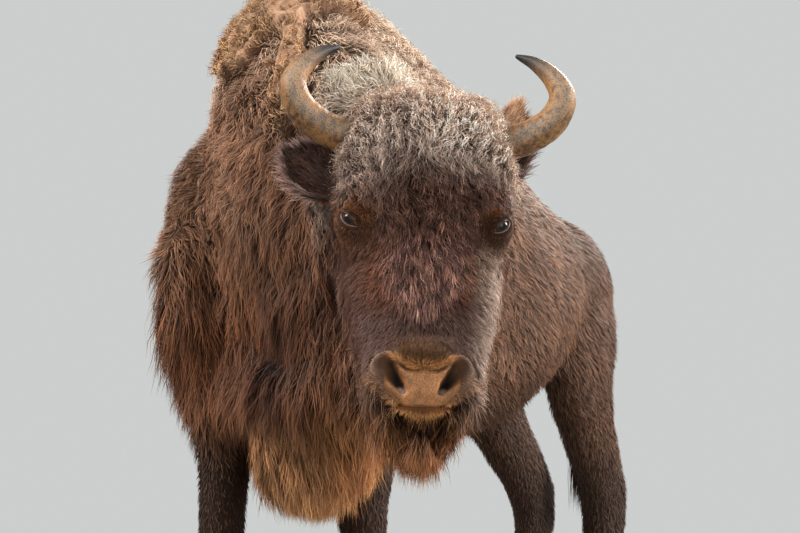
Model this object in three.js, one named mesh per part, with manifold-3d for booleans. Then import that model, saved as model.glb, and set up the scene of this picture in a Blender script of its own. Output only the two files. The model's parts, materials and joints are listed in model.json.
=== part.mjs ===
// European bison (wisent), an adult cow, standing still with her head turned to her left.
//
// Units are millimetres, +Z is up. The animal faces -Y, her left side is +X, and the flat
// soles of her hooves stand on z = 0. Every outline is drawn out to the tips of the coat.
//
// The flesh is built from a few overlapping lofts. They are joined, then parted where a person
// would name the pieces: head, muzzle, jaw, neck, three lengths of trunk, four legs and tail.
import * as THREE from 'three';
import { mergeVertices } from 'three/addons/utils/BufferGeometryUtils.js';
import Module from 'manifold-3d';

const wasm = await Module();
wasm.setup();

// ---------------------------------------------------------------- driving dimensions

const GAP = 0.4; // clearance between neighbouring pieces

// stance
const WHEELBASE = 1160; // between the middles of the fore and the hind feet
const FORE_TRACK = 150; // half the distance between the forefeet
const HIND_TRACK = 138; // half the distance between the hind feet
const FORE_STRIDE = 22; // the right forefoot stands this far ahead, the left one behind
const HIND_STRIDE = 60; // the left hind foot stands this far ahead, the right one behind

// the trunk leans into the turn: ahead of BEND_START its middle line is a parabola
const BEND_START = 120;
const BEND_RATE = 0.00016; // 1/mm, gives about 12 degrees at the shoulders

// head placing: the point midway between the eyes, and how the head is held
const HEAD_AT = new THREE.Vector3(624, -876, 942);
const HEAD_YAW = THREE.MathUtils.degToRad(41); // turned to her left
const HEAD_PITCH = THREE.MathUtils.degToRad(-10); // nose ahead of the poll
const HEAD_ROLL = THREE.MathUtils.degToRad(2); // left cheek a little lower

const EYE_RADIUS = 20;
const EYE_ACROSS = 121; // middle of the eyeball from the middle of the face
const EYE_DEPTH = 17;
const ORBIT = { across: 113, depth: 26, up: 4, radius: 31, height: 36 }; // swelling round it

// heights where the legs are parted
const FORE_PART = 820; // forearm from shoulder
const HIND_PART = 930; // thigh from hindquarters
const CARPUS = 455;
const HOCK = 500;
const CORONET_HEIGHT = 64; // top of the horn of the hoof
const CORONET_SLOPE = THREE.MathUtils.degToRad(22); // it is lower at the heel
const CORONET_AHEAD = 35; // where that height is measured, ahead of the foot's middle

// where the trunk and the tail are parted
const CHEST_END = -230;
const LOIN = 300;
const TAIL_PART = 850;

// how finely each loft is divided: rings along it and corners round it
const FINENESS = {
  trunk: { rings: 20, sides: 22 },
  leg: { rings: 17, sides: 10 },
  neck: { rings: 9, sides: 15 },
  head: { rings: 16, sides: 18 },
  mane: { rings: 9, sides: 13 },
  beard: { rings: 6, sides: 10 },
  tail: { rings: 7, sides: 9 },
  horn: { rings: 14, sides: 10 },
  ear: { rings: 8, sides: 12 },
  claw: { sides: 10 },
};

// outline of the trunk, each row is y, height of the back, height of the belly
const TRUNK_PROFILE = [
  [-730, 1290, 930],
  [-670, 1470, 770],
  [-570, 1595, 668],
  [-430, 1662, 640],
  [-280, 1650, 632],
  [-100, 1576, 628],
  [80, 1456, 655],
  [250, 1354, 738],
  [400, 1312, 828],
  [540, 1290, 862],
  [640, 1234, 880],
  [700, 1160, 925],
  [728, 1105, 965],
];
// and its breadth, each row is y, half width, height of the widest line, sharpness of the back
const TRUNK_BREADTH = [
  [-730, 90, 1120, 1.0],
  [-670, 190, 1090, 1.15],
  [-570, 240, 1040, 1.3],
  [-430, 268, 1000, 1.4],
  [-290, 285, 975, 1.35],
  [-100, 306, 955, 1.2],
  [80, 312, 960, 1.12],
  [250, 284, 1000, 1.0],
  [400, 244, 1060, 0.92],
  [540, 226, 1085, 0.86],
  [640, 186, 1075, 0.88],
  [700, 146, 1050, 0.9],
  [728, 84, 1035, 0.95],
];

// limbs of the left side, rows of x outward from the foot, y, z, half width across, half depth
const FORELEG = [
  [-45, 90, 1420, 45, 70],
  [5, 55, 1250, 88, 150],
  [42, 0, 1060, 98, 178],
  [42, 5, 890, 88, 150],
  [28, 22, 760, 74, 108],
  [14, 14, 640, 62, 84],
  [4, 4, 530, 53, 64],
  [0, -4, 455, 52, 62],
  [0, 4, 380, 42, 49],
  [0, 8, 280, 38, 43],
  [0, 4, 190, 48, 53],
  [0, -10, 125, 45, 48],
  [0, -14, 75, 50, 46],
  [0, -14, 34, 50, 46],
];
const HINDLEG = [
  [-45, -20, 1215, 55, 105],
  [-20, -66, 1115, 90, 178],
  [14, -114, 990, 97, 194],
  [28, -128, 860, 92, 168],
  [22, -80, 735, 76, 132],
  [8, 6, 620, 64, 110],
  [0, 66, 512, 60, 106],
  [0, 62, 425, 54, 84],
  [0, 34, 310, 43, 54],
  [0, 16, 195, 48, 55],
  [0, -6, 125, 44, 47],
  [0, -13, 75, 49, 46],
  [0, -13, 34, 49, 46],
];

// the neck, rows of x, y, z, half width across, half height
const NECK = [
  [45, -400, 1220, 200, 330],
  [92, -560, 1208, 216, 360],
  [168, -662, 1164, 212, 330],
  [280, -722, 1098, 180, 272],
  [390, -738, 1038, 138, 228],
  [475, -752, 994, 104, 182],
];

// the long hair that hangs from throat and chest, same kind of rows
const MANE = [
  [520, -790, 800, 40, 60],
  [455, -765, 765, 78, 100],
  [360, -728, 715, 116, 132],
  [262, -690, 655, 152, 158],
  [170, -625, 612, 176, 166],
  [95, -520, 610, 160, 148],
  [50, -410, 640, 112, 96],
  [30, -330, 668, 50, 44],
];

// the head in its own frame: face to -Y, left +X, up +Z, origin midway between the eyes.
// Each row is z, front of the face, back of the jaw or nape, half width, narrowing to the back
const HEAD = [
  [244, 36, 104, 54, 0.1],
  [220, -14, 150, 114, 0.1],
  [168, -56, 192, 152, 0.12],
  [105, -66, 222, 165, 0.15],
  [50, -46, 246, 159, 0.18],
  [0, -20, 262, 150, 0.2],
  [-50, -8, 264, 150, 0.22],
  [-100, -2, 244, 145, 0.25],
  [-150, 0, 212, 133, 0.28],
  [-200, 0, 182, 117, 0.3],
  [-240, -3, 158, 105, 0.28],
  [-280, 6, 138, 93, 0.2],
  [-308, 30, 128, 77, 0.1],
  [-326, 62, 112, 42, 0.0],
];
const MUZZLE_TOP = -232; // the muzzle is everything below this height of the head
const MOUTH_FRONT = [34, -298]; // y, z of the slit of the mouth at the lips
const JAW_HINGE = [206, -40]; // y, z where the line between head and jaw ends

// a horn, as points of its middle line in the frame of the head, x outward
const HORN_LINE = [
  [118, 34, 150],
  [160, 26, 158],
  [203, 6, 180],
  [222, -6, 218],
  [210, -4, 256],
  [182, 6, 290],
  [150, 18, 312],
];
const HORN_ROOT_RADIUS = 29;
const HORN_TIP_RADIUS = 3.5;

const EAR_LENGTH = 185;
const EAR_HALF_BREADTH = 56;
const EAR_HALF_THICKNESS = 15;
const EAR_HOLLOW = 18; // how far its edges curl forward
// where each ear grows, which way it points and which way its inner face looks, x outward
const EARS = {
  left: { root: [130, 130, 105], along: [0.25, 0.05, 0.965], faces: [0.85, -0.45, -0.2] },
  right: { root: [116, 66, 62], along: [0.7, 0.36, 0.62], faces: [0.35, -0.9, 0.15] },
};

// one claw of a cloven hoof and the small one above it, measured from the middle of the foot
const CLAW = { apart: 26, half: 23, toe: -88, heel: 36, height: 95, lean: 0.42 };
const DEWCLAW = { apart: 21, behind: 44, height: 148, reach: 20, drop: 26, root: 15, tip: 7 };

const TAIL = [
  [0, 640, 1240, 34, 34],
  [0, 722, 1200, 32, 30],
  [0, 762, 1110, 26, 24],
  [0, 770, 980, 21, 20],
  [0, 768, 850, 19, 18],
];
const TAIL_TUFT = [
  [0, 768, 852, 20, 19],
  [0, 768, 760, 40, 36],
  [0, 770, 640, 52, 44],
  [0, 772, 520, 38, 34],
  [0, 774, 430, 10, 10],
];

// the beard, rows in the frame of the head
const BEARD = [
  [0, 92, -262, 64, 40],
  [0, 100, -308, 76, 46],
  [0, 104, -350, 68, 40],
  [0, 106, -388, 48, 28],
  [0, 108, -412, 18, 12],
];

// ---------------------------------------------------------------- building blocks

// A smooth function through rows of [position, value, value, ...].
function through(rows) {
  const size = rows[0].length - 1;
  const curve = new THREE.CubicInterpolant(
    rows.map((row) => row[0]), rows.flatMap((row) => row.slice(1)), size, new Float32Array(size));
  return (position) => Array.from(curve.evaluate(position));
}

// One closed ring around a centre. The half widths are measured along side and up, with a
// separate one below the centre, and an exponent under 1 squares a curve, over 1 sharpens it.
function ring(centre, side, up, { across, high, low = high, roof = 1, keel = 1, sides, taper = 0 }) {
  return Array.from({ length: sides }, (_, index) => {
    const angle = (2 * Math.PI * index) / sides;
    const [cosine, sine] = [Math.cos(angle), Math.sin(angle)];
    const power = sine > 0 ? roof : keel;
    const narrowing = 1 - taper * (0.5 - 0.5 * sine);
    const x = across * narrowing * Math.sign(cosine) * Math.abs(cosine) ** power;
    const z = (sine > 0 ? high : low) * sine;
    return centre.clone().addScaledVector(side, x).addScaledVector(up, z);
  });
}

// A closed skin through rings of equal count, with a fan at each end. Both end rings can be
// moved outward, away from their neighbours.
function skin(rings, lengthen = 0) {
  const count = rings[0].length;
  const last = rings.length - 1;
  const middle = (points) => points.reduce((sum, p) => sum.add(p), new THREE.Vector3())
    .divideScalar(points.length);
  for (const [end, next] of [[0, 1], [last, last - 1]]) {
    const out = middle(rings[end]).sub(middle(rings[next])).setLength(lengthen);
    rings[end].forEach((point) => point.add(out));
  }
  const points = [...rings.flat(), middle(rings[0]), middle(rings[last])];
  const index = [];
  for (let j = 0; j < count; j += 1) {
    const next = (j + 1) % count;
    for (let i = 0; i < last; i += 1) {
      const [a, b] = [i * count + j, i * count + next];
      index.push(a, b, b + count, a, b + count, a + count);
    }
    index.push(points.length - 2, next, j);
    index.push(points.length - 1, last * count + j, last * count + next);
  }
  const geometry = new THREE.BufferGeometry().setFromPoints(points);
  geometry.setIndex(index);
  return geometry;
}

// Six times the signed volume of a mesh, positive when its faces point out.
function signedVolume(positions, index) {
  const corner = (i) => new THREE.Vector3().fromArray(positions, 3 * index[i]);
  let total = 0;
  for (let i = 0; i < index.length; i += 3) {
    total += corner(i).dot(corner(i + 1).cross(corner(i + 2)));
  }
  return total;
}

// A three.js geometry as a solid that can be joined and cut.
function solid(geometry) {
  const clean = geometry.clone();
  clean.deleteAttribute('normal');
  clean.deleteAttribute('uv');
  const merged = mergeVertices(clean, 1e-4);
  const positions = Float32Array.from(merged.attributes.position.array);
  const index = Uint32Array.from(merged.index.array);
  if (signedVolume(positions, index) < 0) {
    for (let i = 0; i < index.length; i += 3) {
      [index[i + 1], index[i + 2]] = [index[i + 2], index[i + 1]];
    }
  }
  return new wasm.Manifold(new wasm.Mesh({ numProp: 3, vertProperties: positions, triVerts: index }));
}

// A solid as a three.js geometry with flat faces.
function geometryOf(body) {
  const mesh = body.getMesh();
  const geometry = new THREE.BufferGeometry();
  const positions = new Float32Array(mesh.numVert * 3);
  for (let i = 0; i < mesh.numVert; i += 1) {
    for (let k = 0; k < 3; k += 1) {
      positions[3 * i + k] = mesh.vertProperties[mesh.numProp * i + k];
    }
  }
  geometry.setAttribute('position', new THREE.BufferAttribute(positions, 3));
  geometry.setIndex(Array.from(mesh.triVerts));
  return geometry;
}

// Everything on the side of a plane that the normal points to, as a very large block.
function halfSpace(point, normal) {
  const size = 6000;
  const block = new THREE.BoxGeometry(size, size, size).translate(0, 0, size / 2);
  const turn = new THREE.Quaternion().setFromUnitVectors(
    new THREE.Vector3(0, 0, 1), normal.clone().normalize());
  return solid(block.applyQuaternion(turn).translate(point.x, point.y, point.z));
}

// A limb or any other tube of changing section along rows of [x, y, z, half width, half depth].
function limb(rows, { rings: count, sides }, grow = 0) {
  const along = through(rows.map((row, index) => [index, ...row]));
  const across = new THREE.Vector3(1, 0, 0);
  const rings = Array.from({ length: count }, (_, i) => {
    const at = ((rows.length - 1) * i) / (count - 1);
    const [x, y, z, wide, deep] = along(at);
    const before = along(Math.max(at - 0.2, 0));
    const after = along(Math.min(at + 0.2, rows.length - 1));
    const tangent = new THREE.Vector3(
      after[0] - before[0], after[1] - before[1], after[2] - before[2]).normalize();
    const side = across.clone().addScaledVector(tangent, -across.dot(tangent)).normalize();
    const fore = new THREE.Vector3().crossVectors(tangent, side);
    return ring(new THREE.Vector3(x, y, z), side, fore,
      { across: wide + grow, high: deep + grow, roof: 0.88, keel: 0.88, sides });
  });
  return skin(rings, grow);
}

// A tube that runs level, so that its half depth is measured upward: neck and mane.
function levelLimb(rows, { rings: count, sides }, grow = 0) {
  const along = through(rows.map((row, index) => [index, ...row]));
  const up = new THREE.Vector3(0, 0, 1);
  const rings = Array.from({ length: count }, (_, i) => {
    const at = ((rows.length - 1) * i) / (count - 1);
    const [x, y, z, wide, deep] = along(at);
    const before = along(Math.max(at - 0.5, 0));
    const after = along(Math.min(at + 0.5, rows.length - 1));
    const tangent = new THREE.Vector3(
      after[0] - before[0], after[1] - before[1], after[2] - before[2]).normalize();
    const side = new THREE.Vector3().crossVectors(tangent, up).normalize();
    const rise = new THREE.Vector3().crossVectors(side, tangent);
    return ring(new THREE.Vector3(x, y, z), side, rise,
      { across: wide + grow, high: deep + grow, roof: 0.95, keel: 0.95, sides });
  });
  return skin(rings, grow);
}

// Lean the front of the straight body into the turn.
function bend(geometry) {
  const position = geometry.attributes.position;
  for (let i = 0; i < position.count; i += 1) {
    const [x, y] = [position.getX(i), position.getY(i)];
    const ahead = Math.max(BEND_START - y, 0);
    const angle = Math.atan(2 * BEND_RATE * ahead);
    position.setXY(i, BEND_RATE * ahead ** 2 + x * Math.cos(angle), y + x * Math.sin(angle));
  }
  return geometry;
}

// ---------------------------------------------------------------- the flesh

function trunkLoft(grow) {
  const profile = through(TRUNK_PROFILE);
  const breadth = through(TRUNK_BREADTH);
  const [first, last] = [TRUNK_PROFILE[0][0], TRUNK_PROFILE.at(-1)[0]];
  const { rings: count, sides } = FINENESS.trunk;
  const [side, up] = [new THREE.Vector3(1, 0, 0), new THREE.Vector3(0, 0, 1)];
  const rings = Array.from({ length: count }, (_, i) => {
    const y = first + ((last - first) * i) / (count - 1);
    const [back, belly] = profile(y);
    const [half, waist, sharpness] = breadth(y);
    return ring(new THREE.Vector3(0, y, waist), side, up, {
      across: half + grow, high: back - waist + grow, low: waist - belly + grow,
      roof: sharpness, keel: 0.9, sides,
    });
  });
  return solid(bend(skin(rings, grow)));
}

// The four legs: which end, which side, and how far behind its even stance the foot stands.
const LEGS = [
  { name: 'foreleg_left', fore: true, hand: 1, back: FORE_STRIDE },
  { name: 'foreleg_right', fore: true, hand: -1, back: -FORE_STRIDE },
  { name: 'hindleg_left', fore: false, hand: 1, back: -HIND_STRIDE },
  { name: 'hindleg_right', fore: false, hand: -1, back: HIND_STRIDE },
];

// Where a foot stands on the floor before the body is bent.
function footOf({ fore, hand, back }) {
  return new THREE.Vector3(
    hand * (fore ? FORE_TRACK : HIND_TRACK), (fore ? -1 : 1) * (WHEELBASE / 2) + back, 0);
}

// A leg of the straight body. It swings from its top, so the lower rows move with the foot.
function legLoft(leg, grow) {
  const rows = leg.fore ? FORELEG : HINDLEG;
  const top = rows[0][2];
  const foot = footOf(leg);
  const placed = rows.map(([x, y, z, across, deep]) => [
    foot.x + leg.hand * x, foot.y - leg.back * (z / top) ** 1.5 + y, z, across, deep]);
  return solid(limb(placed, FINENESS.leg, grow));
}

const worldUp = new THREE.Vector3(0, 0, 1);
const worldDown = new THREE.Vector3(0, 0, -1);
const level = (z) => new THREE.Vector3(0, 0, z);

// the plane where a straight leg's coat ends and its hooves begin
function coronetPlane(leg, raise) {
  const normal = new THREE.Vector3(0, Math.sin(CORONET_SLOPE), Math.cos(CORONET_SLOPE));
  const point = footOf(leg).add(new THREE.Vector3(0, -CORONET_AHEAD, CORONET_HEIGHT + raise));
  return { point, normal };
}

const headFrame = new THREE.Matrix4().compose(
  HEAD_AT,
  new THREE.Quaternion().setFromEuler(new THREE.Euler(HEAD_PITCH, HEAD_ROLL, HEAD_YAW, 'ZXY')),
  new THREE.Vector3(1, 1, 1));

function headLoft(grow) {
  const rows = through(HEAD.map(([z, ...rest]) => [-z, ...rest]));
  const [first, last] = [-HEAD[0][0], -HEAD.at(-1)[0]];
  const { rings: count, sides } = FINENESS.head;
  const [side, front] = [new THREE.Vector3(1, 0, 0), new THREE.Vector3(0, -1, 0)];
  const rings = Array.from({ length: count }, (_, i) => {
    const down = first + ((last - first) * i) / (count - 1);
    const [face, back, half, taper] = rows(down);
    const middle = (face + back) / 2;
    return ring(new THREE.Vector3(0, middle, -down), side, front, {
      across: half + grow, high: middle - face + grow, low: back - middle + grow,
      roof: 0.72, keel: 0.8, sides, taper,
    });
  });
  const orbits = [1, -1].map((hand) => new THREE.SphereGeometry(ORBIT.radius + grow, 9, 7)
    .scale(1, 1, ORBIT.height / ORBIT.radius).translate(hand * ORBIT.across, ORBIT.depth, ORBIT.up));
  return orbits.reduce((whole, orbit) => whole.add(solid(orbit)), solid(skin(rings, grow)));
}

const moved = (body, matrix) => solid(geometryOf(body).applyMatrix4(matrix));
const bent = (body) => solid(bend(geometryOf(body)));

// ---------------------------------------------------------------- horn, ear and hoof

// In each of these a grown version is the room that the piece takes up, clearance included.

function hornGeometry(hand, grow = 0) {
  const points = HORN_LINE.map(([x, y, z]) => new THREE.Vector3(hand * x, y, z));
  const line = new THREE.CatmullRomCurve3(points, false, 'centripetal');
  const steps = FINENESS.horn.rings;
  const frames = line.computeFrenetFrames(steps, false);
  const rings = Array.from({ length: steps + 1 }, (_, i) => {
    const t = i / steps;
    const fullness = (1 - t ** 1.9) ** 0.85; // stays thick to the middle, then draws to the tip
    const radius = THREE.MathUtils.lerp(HORN_TIP_RADIUS, HORN_ROOT_RADIUS, fullness) + grow;
    return ring(line.getPointAt(t), frames.normals[i], frames.binormals[i],
      { across: radius, high: radius, sides: FINENESS.horn.sides });
  });
  return skin(rings, grow);
}

// A leaf-shaped ear. Its root is at the origin, it runs along +X, its breadth is along Z and
// its hollow inner face looks to -Y.
function earGeometry(grow = 0) {
  const { rings: steps, sides } = FINENESS.ear;
  const rings = Array.from({ length: steps + 1 }, (_, i) => {
    const t = i / steps;
    const leaf = Math.max(Math.sin(Math.PI * (0.14 + 0.83 * t) ** 0.85), 0.12);
    const half = EAR_HALF_BREADTH * leaf + grow;
    const thick = EAR_HALF_THICKNESS * (1 - 0.55 * t) + grow;
    return Array.from({ length: sides }, (_unused, j) => {
      const angle = (2 * Math.PI * j) / sides;
      const z = half * Math.cos(angle);
      const curl = EAR_HOLLOW * (z / EAR_HALF_BREADTH) ** 2;
      return new THREE.Vector3(EAR_LENGTH * t, thick * Math.sin(angle) - curl, z);
    });
  });
  return skin(rings, grow);
}

// Turns the ear from its own frame into that of the head, mirrored for the right side.
function earFrame({ root, along, faces }, hand) {
  const [length, inner] = [along, faces].map((v) => new THREE.Vector3(...v).normalize());
  const breadth = new THREE.Vector3().crossVectors(length, inner.negate()).normalize();
  const thickness = new THREE.Vector3().crossVectors(breadth, length);
  return new THREE.Matrix4().makeScale(hand, 1, 1)
    .multiply(new THREE.Matrix4().makeTranslation(...root))
    .multiply(new THREE.Matrix4().makeBasis(length, thickness, breadth));
}

// One claw of a cloven hoof: flat sole on z = 0, toe to -Y, flat wall towards its neighbour.
function clawGeometry(hand) {
  const [side, front] = [new THREE.Vector3(1, 0, 0), new THREE.Vector3(0, -1, 0)];
  const rings = [0, CLAW.height].map((z) => {
    const toe = CLAW.toe + CLAW.lean * z;
    const middle = (toe + CLAW.heel) / 2;
    return ring(new THREE.Vector3(hand * CLAW.apart, middle, z), side, front, {
      across: CLAW.half, high: middle - toe, low: CLAW.heel - middle, roof: 0.75, keel: 0.55,
      sides: FINENESS.claw.sides,
    });
  });
  return skin(rings);
}

function dewclawGeometry(hand, grow = 0) {
  const [side, up] = [new THREE.Vector3(1, 0, 0), new THREE.Vector3(0, 0.6, 0.8)];
  const rings = [0, 0.5, 1].map((t) => {
    const radius = THREE.MathUtils.lerp(DEWCLAW.root, DEWCLAW.tip, t ** 2) + grow;
    const centre = new THREE.Vector3(hand * DEWCLAW.apart, DEWCLAW.behind + DEWCLAW.reach * t,
      DEWCLAW.height - DEWCLAW.drop * t);
    return ring(centre, side, up, { across: radius, high: radius, sides: FINENESS.claw.sides });
  });
  return skin(rings, grow);
}

// ---------------------------------------------------------------- joining and parting

const trunk = { tight: trunkLoft(0), loose: trunkLoft(GAP) };
const legs = LEGS.map((leg) => ({
  ...leg, straight: legLoft(leg, 0), tight: bent(legLoft(leg, 0)), loose: bent(legLoft(leg, GAP)),
}));
const neckLoft = (grow) => solid(levelLimb(NECK, FINENESS.neck, grow));
const headTight = headLoft(0);
const headLoose = moved(headLoft(GAP), headFrame);

// shoulders and haunches belong to the trunk, what is below belongs to the legs
const partHeight = (leg) => (leg.fore ? FORE_PART : HIND_PART);
let body = trunk.tight;
let bodyLoose = trunk.loose;
for (const leg of legs) {
  const root = halfSpace(level(partHeight(leg)), worldUp);
  body = body.add(leg.tight.intersect(root));
  bodyLoose = bodyLoose.add(leg.loose.intersect(root));
}

const pieces = new Map(); // name -> { solid, finish, frame }
const FINISH = {
  coat: { color: 0x6f4a33, roughness: 0.95, metalness: 0 },
  face: { color: 0x4a352b, roughness: 0.95, metalness: 0 },
  mane: { color: 0x7a4c2c, roughness: 0.95, metalness: 0 },
  nose: { color: 0x7d5a42, roughness: 0.45, metalness: 0 },
  horn: { color: 0x77694f, roughness: 0.35, metalness: 0 },
  hoof: { color: 0x2c2723, roughness: 0.6, metalness: 0 },
  eye: { color: 0x120c0a, roughness: 0.08, metalness: 0 },
};
const world = new THREE.Matrix4();

function keep(name, body3, finish, frame = world) {
  pieces.set(name, { body: body3, finish, frame });
}

// trunk in three lengths
const acrossAt = (y, toBack) => halfSpace(new THREE.Vector3(0, y, 0),
  new THREE.Vector3(0, toBack ? 1 : -1, 0));
keep('trunk_shoulders', body.intersect(acrossAt(CHEST_END - GAP, false)), 'coat');
keep('trunk_barrel', body.intersect(acrossAt(CHEST_END, true))
  .intersect(acrossAt(LOIN - GAP, false)), 'coat');
keep('trunk_hindquarters', body.intersect(acrossAt(LOIN, true)), 'coat');

// neck, cut where it enters the trunk and the head and where an ear lies against it
const SIDES = [['left', 1], ['right', -1]];
const ear = (name, hand, grow) => solid(
  earGeometry(grow).applyMatrix4(earFrame(EARS[name], hand)));
let neck = neckLoft(0).subtract(bodyLoose).subtract(headLoose);
for (const [name, hand] of SIDES) neck = neck.subtract(moved(ear(name, hand, GAP), headFrame));
keep('neck', neck, 'coat');

for (const leg of legs) {
  const joint = leg.fore ? CARPUS : HOCK;
  const upper = leg.tight.intersect(halfSpace(level(partHeight(leg) - GAP), worldDown))
    .intersect(halfSpace(level(joint), worldUp)).subtract(trunk.loose);
  keep(`${leg.name}_upper`, upper, 'coat');
  const ankle = coronetPlane(leg, GAP);
  let lower = leg.straight.intersect(halfSpace(level(joint - GAP), worldDown))
    .intersect(halfSpace(ankle.point, ankle.normal));
  const crown = coronetPlane(leg, 0);
  const foot = new THREE.Matrix4().makeTranslation(footOf(leg));
  for (const [place, hand] of [['outer', leg.hand], ['inner', -leg.hand]]) {
    const claw = solid(clawGeometry(hand).applyMatrix4(foot))
      .intersect(halfSpace(crown.point, crown.normal.clone().negate()));
    keep(`hoof_${leg.name}_${place}`, bent(claw), 'hoof');
    const dewclaw = solid(dewclawGeometry(hand).applyMatrix4(foot));
    keep(`dewclaw_${leg.name}_${place}`, bent(dewclaw), 'hoof');
    lower = lower.subtract(solid(dewclawGeometry(hand, GAP).applyMatrix4(foot)));
  }
  keep(`${leg.name}_lower`, bent(lower), 'coat');
}

// head, muzzle and jaw, in the frame of the head
const mouthLine = new THREE.Vector3(0, JAW_HINGE[0] - MOUTH_FRONT[0], JAW_HINGE[1] - MOUTH_FRONT[1]);
const mouthNormal = new THREE.Vector3(0, mouthLine.z, -mouthLine.y).normalize();
const mouthPoint = new THREE.Vector3(0, ...MOUTH_FRONT);
const overMouth = halfSpace(mouthPoint, mouthNormal.clone().negate());
const underMouth = halfSpace(mouthPoint.clone().addScaledVector(mouthNormal, GAP), mouthNormal);
const upperHead = headTight.intersect(overMouth);
let skull = upperHead.intersect(halfSpace(level(MUZZLE_TOP), worldUp));

for (const [name, hand] of SIDES) {
  const ball = (radius) => solid(new THREE.SphereGeometry(radius, 12, 7)
    .translate(hand * EYE_ACROSS, EYE_DEPTH, 0));
  skull = skull.subtract(ball(EYE_RADIUS + GAP)).subtract(ear(name, hand, GAP))
    .subtract(solid(hornGeometry(hand, GAP)));
  keep(`eye_${name}`, ball(EYE_RADIUS), 'eye', headFrame);
  keep(`horn_${name}`, solid(hornGeometry(hand)), 'horn', headFrame);
  keep(`ear_${name}`, ear(name, hand, 0), 'face', headFrame);
}
keep('head', skull, 'face', headFrame);
keep('muzzle', upperHead.intersect(halfSpace(level(MUZZLE_TOP - GAP), worldDown)), 'nose', headFrame);
const jaw = headTight.intersect(underMouth);
keep('jaw', jaw, 'face', headFrame);

keep('beard', solid(limb(BEARD, FINENESS.beard)).subtract(headLoft(GAP)), 'mane', headFrame);

let mane = solid(levelLimb(MANE, FINENESS.mane)).subtract(bodyLoose).subtract(neckLoft(GAP))
  .subtract(headLoose).subtract(moved(solid(limb(BEARD, FINENESS.beard, GAP)), headFrame));
for (const leg of legs.filter(({ fore }) => fore)) mane = mane.subtract(leg.loose);
keep('mane', mane, 'mane');

keep('tail', solid(limb(TAIL, FINENESS.tail)).subtract(bodyLoose)
  .intersect(halfSpace(level(TAIL_PART + GAP), worldUp)), 'coat');
keep('tail_tuft', solid(limb(TAIL_TUFT, FINENESS.tail))
  .intersect(halfSpace(level(TAIL_PART), worldDown)), 'mane');

// ---------------------------------------------------------------- the scene graph

const wisent = new THREE.Group();
const box = new THREE.Box3();
for (const [name, { body: piece, finish, frame }] of pieces) {
  const mesh = new THREE.Mesh(geometryOf(piece), new THREE.MeshStandardMaterial(FINISH[finish]));
  mesh.name = name;
  mesh.applyMatrix4(frame);
  wisent.add(mesh);
  mesh.updateMatrixWorld();
  box.expandByObject(mesh, true);
}

// the origin is on the floor below the middle of the animal
const middle = box.getCenter(new THREE.Vector3());
wisent.position.set(-middle.x, -middle.y, -box.min.z);

export default wisent;
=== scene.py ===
# %% [markdown]
# # A standing wisent with its head turned
#
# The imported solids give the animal's true outline out to the tips of its coat, one closed piece
# for each part of the body. Everything here is built around them: one skin that lies inside the
# solids by the depth of the coat, eyes, horns and hooves, and then the coat itself, as a great
# many thin blades of hair joined into a few meshes. All lengths are in metres.

import json
import math
import time

import bpy
import numpy as np
import openvdb
from mathutils import Euler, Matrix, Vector

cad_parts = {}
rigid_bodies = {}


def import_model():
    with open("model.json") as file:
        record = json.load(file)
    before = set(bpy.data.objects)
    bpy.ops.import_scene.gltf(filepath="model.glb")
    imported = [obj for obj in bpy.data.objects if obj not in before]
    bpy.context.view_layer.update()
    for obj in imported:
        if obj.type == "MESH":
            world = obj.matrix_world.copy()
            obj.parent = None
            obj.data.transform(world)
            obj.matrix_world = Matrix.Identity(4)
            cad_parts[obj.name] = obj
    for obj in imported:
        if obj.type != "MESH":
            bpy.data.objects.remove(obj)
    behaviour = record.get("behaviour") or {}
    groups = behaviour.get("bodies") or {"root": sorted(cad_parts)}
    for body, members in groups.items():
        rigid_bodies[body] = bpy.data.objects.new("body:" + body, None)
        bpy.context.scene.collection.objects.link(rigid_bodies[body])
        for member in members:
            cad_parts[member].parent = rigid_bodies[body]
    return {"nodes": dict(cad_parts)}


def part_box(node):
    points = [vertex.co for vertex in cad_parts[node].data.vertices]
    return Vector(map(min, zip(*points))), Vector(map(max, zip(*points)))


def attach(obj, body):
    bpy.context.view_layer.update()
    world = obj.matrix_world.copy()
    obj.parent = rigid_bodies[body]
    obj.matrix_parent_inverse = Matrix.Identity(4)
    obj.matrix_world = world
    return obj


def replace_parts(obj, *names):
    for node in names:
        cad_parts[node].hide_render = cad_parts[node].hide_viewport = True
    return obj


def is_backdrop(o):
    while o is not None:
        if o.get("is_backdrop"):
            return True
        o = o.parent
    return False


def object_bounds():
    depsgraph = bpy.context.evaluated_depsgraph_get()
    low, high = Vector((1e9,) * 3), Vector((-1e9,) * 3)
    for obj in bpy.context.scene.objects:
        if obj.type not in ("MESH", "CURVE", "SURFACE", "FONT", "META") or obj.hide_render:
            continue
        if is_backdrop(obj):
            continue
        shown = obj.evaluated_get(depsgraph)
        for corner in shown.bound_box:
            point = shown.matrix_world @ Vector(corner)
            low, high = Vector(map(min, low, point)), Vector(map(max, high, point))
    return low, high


started = time.time()
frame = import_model()
cad_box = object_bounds()
nodes = frame["nodes"]
print("solids:", len(nodes), "box:", cad_box)

# %% [markdown]
# ## Camera
#
# The camera comes first, so that every later step can be looked at. It stands low, in front of
# the animal's left shoulder, and looks up a little, so that the head fills the middle and the
# feet fall below the frame.

# %% Camera
CAMERA_PLACE = (1.459, -2.249, 0.502)
CAMERA_YAW, CAMERA_PITCH = 37.48, 11.14  # degrees, to the left of +Y and above the horizon
SENSOR, LENS = 36.0, 53.38  # millimetres

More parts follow.
